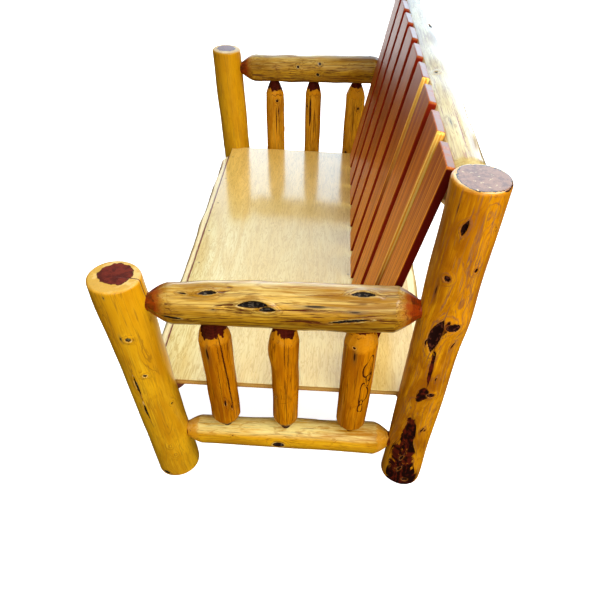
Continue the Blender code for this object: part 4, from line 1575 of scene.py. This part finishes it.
@dataclass
class Screws:
    """Countersunk deck screws with square drive recesses, whose rims stand a hair above the deck."""

    spots: tuple[tuple[float, float], ...]
    head: float = 0.0070
    drive: float = 0.0030
    sink: float = 0.0004
    depth: float = 0.0022
    sides: int = 32
    shank: float = 0.4

    def ring_edges(self, ring: list[bmesh.types.BMVert]) -> list[bmesh.types.BMEdge]:
        """Return the edges that join a ring's corners, each once and always in the same order."""
        edges = dict.fromkeys(edge for corner in ring for edge in corner.link_edges)
        return [edge for edge in edges if all(end in ring for end in edge.verts)]

    def drop(self, shape: bmesh.types.BMesh, ring: list[bmesh.types.BMVert], depth: float,
             share: float) -> list[bmesh.types.BMVert]:
        """Extrude a ring downwards and close it below.

        Args:
            shape: The mesh.
            ring: The ring's corners.
            depth: How far down the new ring lies.
            share: How wide it is beside the first one.

        Returns:
            The new ring's corners.
        """
        made = bmesh.ops.extrude_edge_only(shape, edges=self.ring_edges(ring))["geom"]
        corners = [item for item in made if isinstance(item, bmesh.types.BMVert)]
        edges = [item for item in made if isinstance(item, bmesh.types.BMEdge)]
        bmesh.ops.translate(shape, verts=corners, vec=(0, 0, -depth))
        bmesh.ops.scale(shape, verts=corners, vec=(share, share, 1.0))
        bmesh.ops.edgeloop_fill(shape, edges=edges)
        return corners

    def head_mesh(self, shape: bmesh.types.BMesh, place: Vector) -> None:
        """Add one screw head to a mesh: a rim, a dished face and the square recess.

        Args:
            shape: The mesh.
            place: The middle of the head's rim.
        """
        rim = bmesh.ops.create_circle(shape, segments=self.sides, radius=self.head / 2)["verts"]
        ring = bmesh.ops.create_circle(shape, segments=self.sides, radius=self.drive / 2)["verts"]
        for corner in ring:
            reach = max(abs(corner.co.x), abs(corner.co.y))
            corner.co *= self.drive / 2 / reach
            corner.co.z -= self.sink
        bmesh.ops.bridge_loops(shape, edges=self.ring_edges(rim) + self.ring_edges(ring))
        low = self.drop(shape, ring, self.depth, 1.0)
        under = self.drop(shape, rim, self.depth * 2, self.shank)
        bmesh.ops.translate(shape, verts=rim + ring + low + under, vec=place)

    def build(self, material: bpy.types.Material, top: float) -> bpy.types.Object:
        """Build all the screws as one piece.

        Args:
            material: The screws' finish.
            top: The height of the deck's top.

        Returns:
            The piece.
        """
        shape = bmesh.new()
        for x, y in self.spots:
            self.head_mesh(shape, Vector((x, y, top + SCREW_STAND)))
        bmesh.ops.recalc_face_normals(shape, faces=shape.faces)
        mesh = to_mesh(shape, "deck_screws")
        return add_piece("deck_screws", mesh, material)


@dataclass
class Seat:
    """The seat: its two long rails, the joists, the deck panel and its screws."""

    seed: int
    shoulders: tuple[float, float] = (0.065, 0.065)
    screw_step: float = 0.19
    screw_count: int = 6
    screw_first: float = -0.590
    front_row: float = -0.335
    back_row: float = 0.165
    back_screws: tuple[float, ...] = (0.19, 0.57)

    def build(self, rails: bpy.types.Material, ply: bpy.types.Material, lumber: bpy.types.Material,
              steel: bpy.types.Material) -> list[bpy.types.Object]:
        """Build the seat.

        Args:
            rails: The rails' finish.
            ply: The deck's finish.
            lumber: The joists' finish.
            steel: The screws' finish.

        Returns:
            The pieces.
        """
        front = PlanedRail("front_seat_rail", "rail_log", Lie.LENGTHWISE, self.seed + 1, heart=0.85,
                           pale=1.0, lit_side_angle=0.0, marks=FRONT_RAIL_MARKS, shoulders=self.shoulders,
                           step=0.0045, stray_marks=8, stray_from=95.0, stray_to=300.0)
        rear = PlanedRail("rear_seat_rail", "rail_log", Lie.LENGTHWISE, self.seed + 2, heart=0.74,
                          pale=0.6, lit_side_angle=0.0, shoulders=self.shoulders, step=0.0045, stray_marks=10,
                          stray_from=60.0, stray_to=320.0)
        made = [front.build(rails), rear.build(rails)]
        for number in (1, 2, 3):
            joist = Board(f"seat_joist_{number}", "lumber", (0, 1, 0), self.seed + 3 + number, ease=0.003)
            made.append(joist.build(lumber))
        made.append(Panel("deck_panel", "plywood", (1, 0, 0), self.seed + 7, ease=0.0012).build(ply))
        row = [(self.screw_first + self.screw_step * number, self.front_row)
               for number in range(self.screw_count)]
        row += [(x, self.back_row) for x in self.back_screws]
        made.append(Screws(tuple(row)).build(steel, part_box("deck_panel")[1].z))
        return made


@dataclass
class Back:
    """The back: nine leaning boards, the rail that they rest on and the cleat at their feet."""

    seed: int
    shoulders: tuple[float, float] = (0.065, 0.065)
    # Each board's tone, lower on the far boards as painted shade, with some tone of its own; fade darkens
    # every board towards its top, as painted shade.
    tones_with_painted_shade: tuple[float, ...] = (0.82, 0.76, 0.72, 0.60, 0.64, 0.48, 0.48, 0.36, 0.36)
    fade: float = 0.38
    sapwood: tuple[float, ...] = (0.0, 1.0, 0.0, 0.6, 0.0, 0.0, -1.0, 0.0, 0.0)

    def lean(self) -> np.ndarray:
        """Find the direction in which the boards rise, from the first board's vertices.

        Returns:
            The direction, one metre long.
        """
        points = node_points("back_slat_1")
        rise = np.linalg.svd(points - points.mean(0), full_matrices=False)[2][0]
        rise[0] = 0.0
        rise *= np.sign(rise[2])
        return rise / np.linalg.norm(rise)

    def build(self, rails: bpy.types.Material, cedar: bpy.types.Material, shaded_end_cedar: bpy.types.Material,
              lumber: bpy.types.Material) -> list[bpy.types.Object]:
        """Build the back.

        Args:
            rails: The top rail's finish.
            cedar: The boards' finish.
            shaded_end_cedar: The finish of the near end's board.
            lumber: The cleat's finish.

        Returns:
            The pieces.
        """
        rise = self.lean()
        flat = 90 - math.degrees(math.atan2(rise[1], rise[2]))
        rail = PlanedRail("back_top_rail", "rail_log", Lie.LENGTHWISE, self.seed + 1, heart=0.66, pale=1.0,
                          lit_side_angle=20.0, marks=TOP_RAIL_MARKS, shoulders=self.shoulders, step=0.0045,
                          flat_angle=flat, stray_marks=8, stray_from=-170.0, stray_to=-40.0)
        made = [rail.build(rails)]
        for number, (tone, sap) in enumerate(zip(self.tones_with_painted_shade, self.sapwood), start=1):
            board = Board(f"back_slat_{number}", "cedar_board", tuple(rise), self.seed + 1 + number,
                          ease=0.0012, tone=tone, sapwood=sap, fade=self.fade)
            # The near end's board takes a finish whose sawn side is darker: painted shade.
            made.append(board.build(shaded_end_cedar if number == 1 else cedar))
        cleat = Board("slat_cleat", "lumber", (1, 0, 0), self.seed + 12, ease=0.002)
        made.append(cleat.build(lumber))
        return made


@dataclass
class Softbox:
    """A soft rectangular studio light."""

    name: str
    place: tuple[float, float, float]
    aim: tuple[float, float, float]
    size: tuple[float, float]
    power: float
    tint: Colour = WHITE
    spread: float = 180.0
    lit: bool = True
    shine: bool = True

    def build(self) -> bpy.types.Object:
        """Add the light to the scene, to light the sofa, to shine in its varnish, or both.

        Returns:
            The light's object.
        """
        lamp = bpy.data.lights.new(self.name, "AREA")
        lamp.shape = "RECTANGLE"
        lamp.size, lamp.size_y = self.size
        lamp.energy = self.power
        lamp.color = self.tint
        lamp.spread = math.radians(self.spread)
        item = bpy.data.objects.new(self.name, lamp)
        item.visible_camera = False
        item.visible_diffuse = self.lit
        item.visible_glossy = self.shine
        item.location = self.place
        facing = Vector(self.aim) - Vector(self.place)
        item.rotation_euler = facing.to_track_quat("-Z", "Y").to_euler()
        bpy.context.scene.collection.objects.link(item)
        return item


@dataclass
class Studio:
    """Pale floor, soft lights and a camera at the photograph's viewing angle."""

    floor_size: float = 30.0
    sky: float = 0.54
    ground: float = 0.25
    horizon: float = 0.25
    eye: tuple[float, float, float] = (1.578, 0.080, 1.370)
    yaw: float = 0.31
    pitch: float = 47.77
    roll: float = -3.35
    lens: float = 31.0
    sensor: float = 36.0
    shift: tuple[float, float] = (-0.032, 0.1134)
    lights: tuple[Softbox, ...] = (
        Softbox("key_softbox", (0.9, 1.9, 3.3), (0.4, 0.0, 0.3), (2.2, 2.2), 102.0),
        Softbox("fill_softbox", (2.4, 0.5, 1.7), (0.5, 0.0, 0.30), (1.6, 1.2), 50.0, shine=False),
        Softbox("top_softbox", (0.52, 0.06, 2.6), (0.50, 0.06, 0.3), (0.5, 0.5), 0.85, spread=40.0,
                shine=False),
        Softbox("far_softbox", (-3.6, 1.1, 2.8), (0.0, 0.3, 0.4), (5.0, 4.6), 132.0, (0.60, 0.81, 0.97),
                lit=False),
        Softbox("low_softbox", (-3.4, 0.0, 1.6), (0.0, 0.0, 0.5), (5.0, 1.1), 20.0, (0.6, 0.8, 1.0)),
        Softbox("rim_softbox", (-3.6, 0.0, 0.55), (0.0, 0.0, 0.55), (5.0, 1.0), 55.0),
    )

    def build(self, finish: bpy.types.Material) -> None:
        """Add the floor, the lights, the sky and the camera.

        Args:
            finish: The floor's finish.
        """
        self.add_floor(finish)
        for light in self.lights:
            light.build()
        self.add_sky()
        self.add_camera()

    def add_sky(self) -> None:
        """Add an even sky that is dimmer below the horizon and doesn't veil the varnish."""
        world = bpy.data.worlds.new("studio")
        nodes = Nodes(world, "Background")
        _, _, height = nodes.split(nodes.place("Generated"))
        fade = nodes.add("ShaderNodeMapRange", {}, {
            "Value": height, "From Min": -self.horizon, "From Max": self.horizon,
            "To Min": self.ground, "To Max": self.sky,
        })
        nodes.finish(color=WHITE, strength=Tap(nodes, fade.outputs[0]))
        world.cycles_visibility.glossy = False
        bpy.context.scene.world = world
        bpy.context.scene.view_settings.view_transform = "Standard"

    def add_floor(self, finish: bpy.types.Material) -> None:
        """Add the floor, which isn't part of the sofa.

        Args:
            finish: Its finish.
        """
        shape = bmesh.new()
        bmesh.ops.create_grid(shape, x_segments=4, y_segments=4, size=self.floor_size / 2)
        mesh = to_mesh(shape, "studio_floor")
        mesh.materials.append(finish)
        floor = bpy.data.objects.new("studio_floor", mesh)
        bpy.context.scene.collection.objects.link(floor)
        floor.visible_diffuse = False
        floor.visible_glossy = False

    def add_camera(self) -> None:
        """Add the camera: over the near arm, looking along the sofa and down."""
        yaw, pitch, roll = (math.radians(angle) for angle in (self.yaw, self.pitch, self.roll))
        level = Vector((-math.cos(yaw), math.sin(yaw), 0.0))
        side = Vector((math.sin(yaw), math.cos(yaw), 0.0))
        up = Vector((0.0, 0.0, 1.0))
        ahead = math.cos(pitch) * level - math.sin(pitch) * up
        down = -math.sin(pitch) * level - math.cos(pitch) * up
        right = math.cos(roll) * side + math.sin(roll) * down
        below = math.cos(roll) * down - math.sin(roll) * side
        camera = bpy.data.cameras.new("camera")
        camera.sensor_width = self.sensor
        camera.lens = self.lens
        camera.shift_x, camera.shift_y = self.shift
        item = bpy.data.objects.new("camera", camera)
        turn = Matrix((right, -below, -ahead)).transposed().to_4x4()
        item.matrix_world = Matrix.Translation(self.eye) @ turn
        bpy.context.scene.collection.objects.link(item)
        bpy.context.scene.camera = item


def main() -> None:
    """Build the sofa's sub-assemblies in order, and the studio round them."""
    logging.basicConfig(level=logging.INFO, format="%(name)s: %(message)s")
    front_post = LogFinish(
        "front_post_log", amber=(0.68, 0.345, 0.004), light=(0.77, 0.45, 0.015), deep=(0.50, 0.21, 0.001),
        pale=(0.80, 0.66, 0.32), cut=(0.52, 0.35, 0.085), heart=(0.145, 0.022, 0.012),
        heart_dark=(0.065, 0.012, 0.008), specks=0.25, rim_wear_and_highlight=0.3, halo=0.0, lines=0.30, heart_rim=0.4,
        cream=0.6, ash=(0.13, 0.10, 0.035), pit_from=0.46, shortness=2.0, coat=0.5, cut_coat=0.10,
    )
    back_post = replace(
        front_post, name="back_post_log", amber=(0.58, 0.222, 0.001), light=(0.77, 0.37, 0.004),
        deep=(0.25, 0.070, 0.001), heart=(0.26, 0.130, 0.075), heart_dark=(0.14, 0.060, 0.040),
        soot=(0.012, 0.003, 0.002), ash=(0.080, 0.020, 0.010), pit_from=0.51, lines=0.55, specks=0.6, jag=0.6,
        heart_rim=1.0, rim_wear_and_highlight=0.08, flecks=0.5, coat=0.08, cut_coat=1.0, coat_ior=1.9, specular=0.05,
    )
    arm = LogFinish(
        "arm_log", amber=(0.45, 0.225, 0.005), light=(0.54, 0.34, 0.025), deep=(0.21, 0.085, 0.002),
        pale=(0.54, 0.435, 0.16), cut=(0.29, 0.078, 0.001), heart=(0.22, 0.024, 0.001),
        heart_dark=(0.065, 0.011, 0.002), specks=0.9, underside_specks_and_shade=0.19, halo=0.7, lines=0.9, shortness=1.3,
        coat=0.60, cut_coat=0.25, toast=0.85,
    )
    lower_rail = replace(
        arm, name="lower_rail_log", amber=(0.60, 0.29, 0.003), light=(0.70, 0.41, 0.012),
        deep=(0.40, 0.155, 0.002), pale=(0.74, 0.59, 0.20), cut=(0.56, 0.22, 0.005), specks=0.5, lines=0.40,
        soot=(0.014, 0.004, 0.003), underside_specks_and_shade=0.0, toast=0.0, shortness=2.0, coat=0.5,
    )
    long_rail = replace(
        arm, name="long_rail_log", amber=(0.74, 0.48, 0.10), light=(0.86, 0.66, 0.26),
        deep=(0.52, 0.28, 0.04), pale=(0.92, 0.80, 0.46), cut=(0.97, 0.88, 0.54), specks=0.2,
        heart=(0.34, 0.10, 0.055), heart_dark=(0.22, 0.055, 0.035), halo=0.0, underside_specks_and_shade=0.0, lines=0.20,
        jag=0.12, toast=0.0, cut_coat=0.6, coat=0.6,
    )
    top_rail = replace(
        long_rail, name="top_rail_log", amber=(0.38, 0.24, 0.045), light=(0.54, 0.41, 0.13),
        deep=(0.20, 0.10, 0.015), pale=(0.54, 0.45, 0.20), cut=(0.46, 0.36, 0.13), specks=0.7, lines=0.9,
    )
    spindle = LogFinish(
        "spindle_log", amber=(0.53, 0.176, 0.001), light=(0.66, 0.285, 0.005), deep=(0.29, 0.077, 0.001),
        pale=(0.70, 0.40, 0.08), cut=(0.54, 0.205, 0.005), heart=(0.060, 0.007, 0.003),
        heart_dark=(0.030, 0.004, 0.002), soot=(0.018, 0.004, 0.002), ash=(0.11, 0.065, 0.012), specks=0.55,
        halo=0.8, lines=0.60, shortness=1.6, coat=0.35, cut_coat=0.20, specular=0.0,
    )
    far_spindle = replace(
        spindle, name="far_spindle_log", amber=(0.66, 0.29, 0.010), light=(0.80, 0.44, 0.03),
        deep=(0.38, 0.13, 0.004),
    )
    looks = LogLooks(*(finish.material() for finish in (
        front_post, back_post, arm, lower_rail, long_rail, top_rail, spindle)))
    far_looks = replace(looks, spindle=far_spindle.material())
    ply = PlyFinish("plywood").material()
    cedar = CedarFinish("cedar_board").material()
    # A copy of the cedar finish with a darker sawn side for the near end's board: painted shade.
    shaded_end_cedar = CedarFinish("end_cedar_board", side=(0.075, 0.003, 0.001)).material()
    lumber = LumberFinish("lumber").material()
    steel = ScrewFinish("screw_steel").material()
    made = EndFrame("left", seed=10, near=True).build(looks)
    made += EndFrame("right", seed=30, near=False).build(far_looks)
    made += Seat(seed=50).build(looks.long_rail, ply, lumber, steel)
    made += Back(seed=70).build(looks.top_rail, cedar, shaded_end_cedar, lumber)
    for piece in made:
        LOG.info("%s: %d faces", piece.name, len(piece.data.polygons))
    Studio().build(FloorFinish("studio_floor").material())


if __name__ == "__main__":
    main()
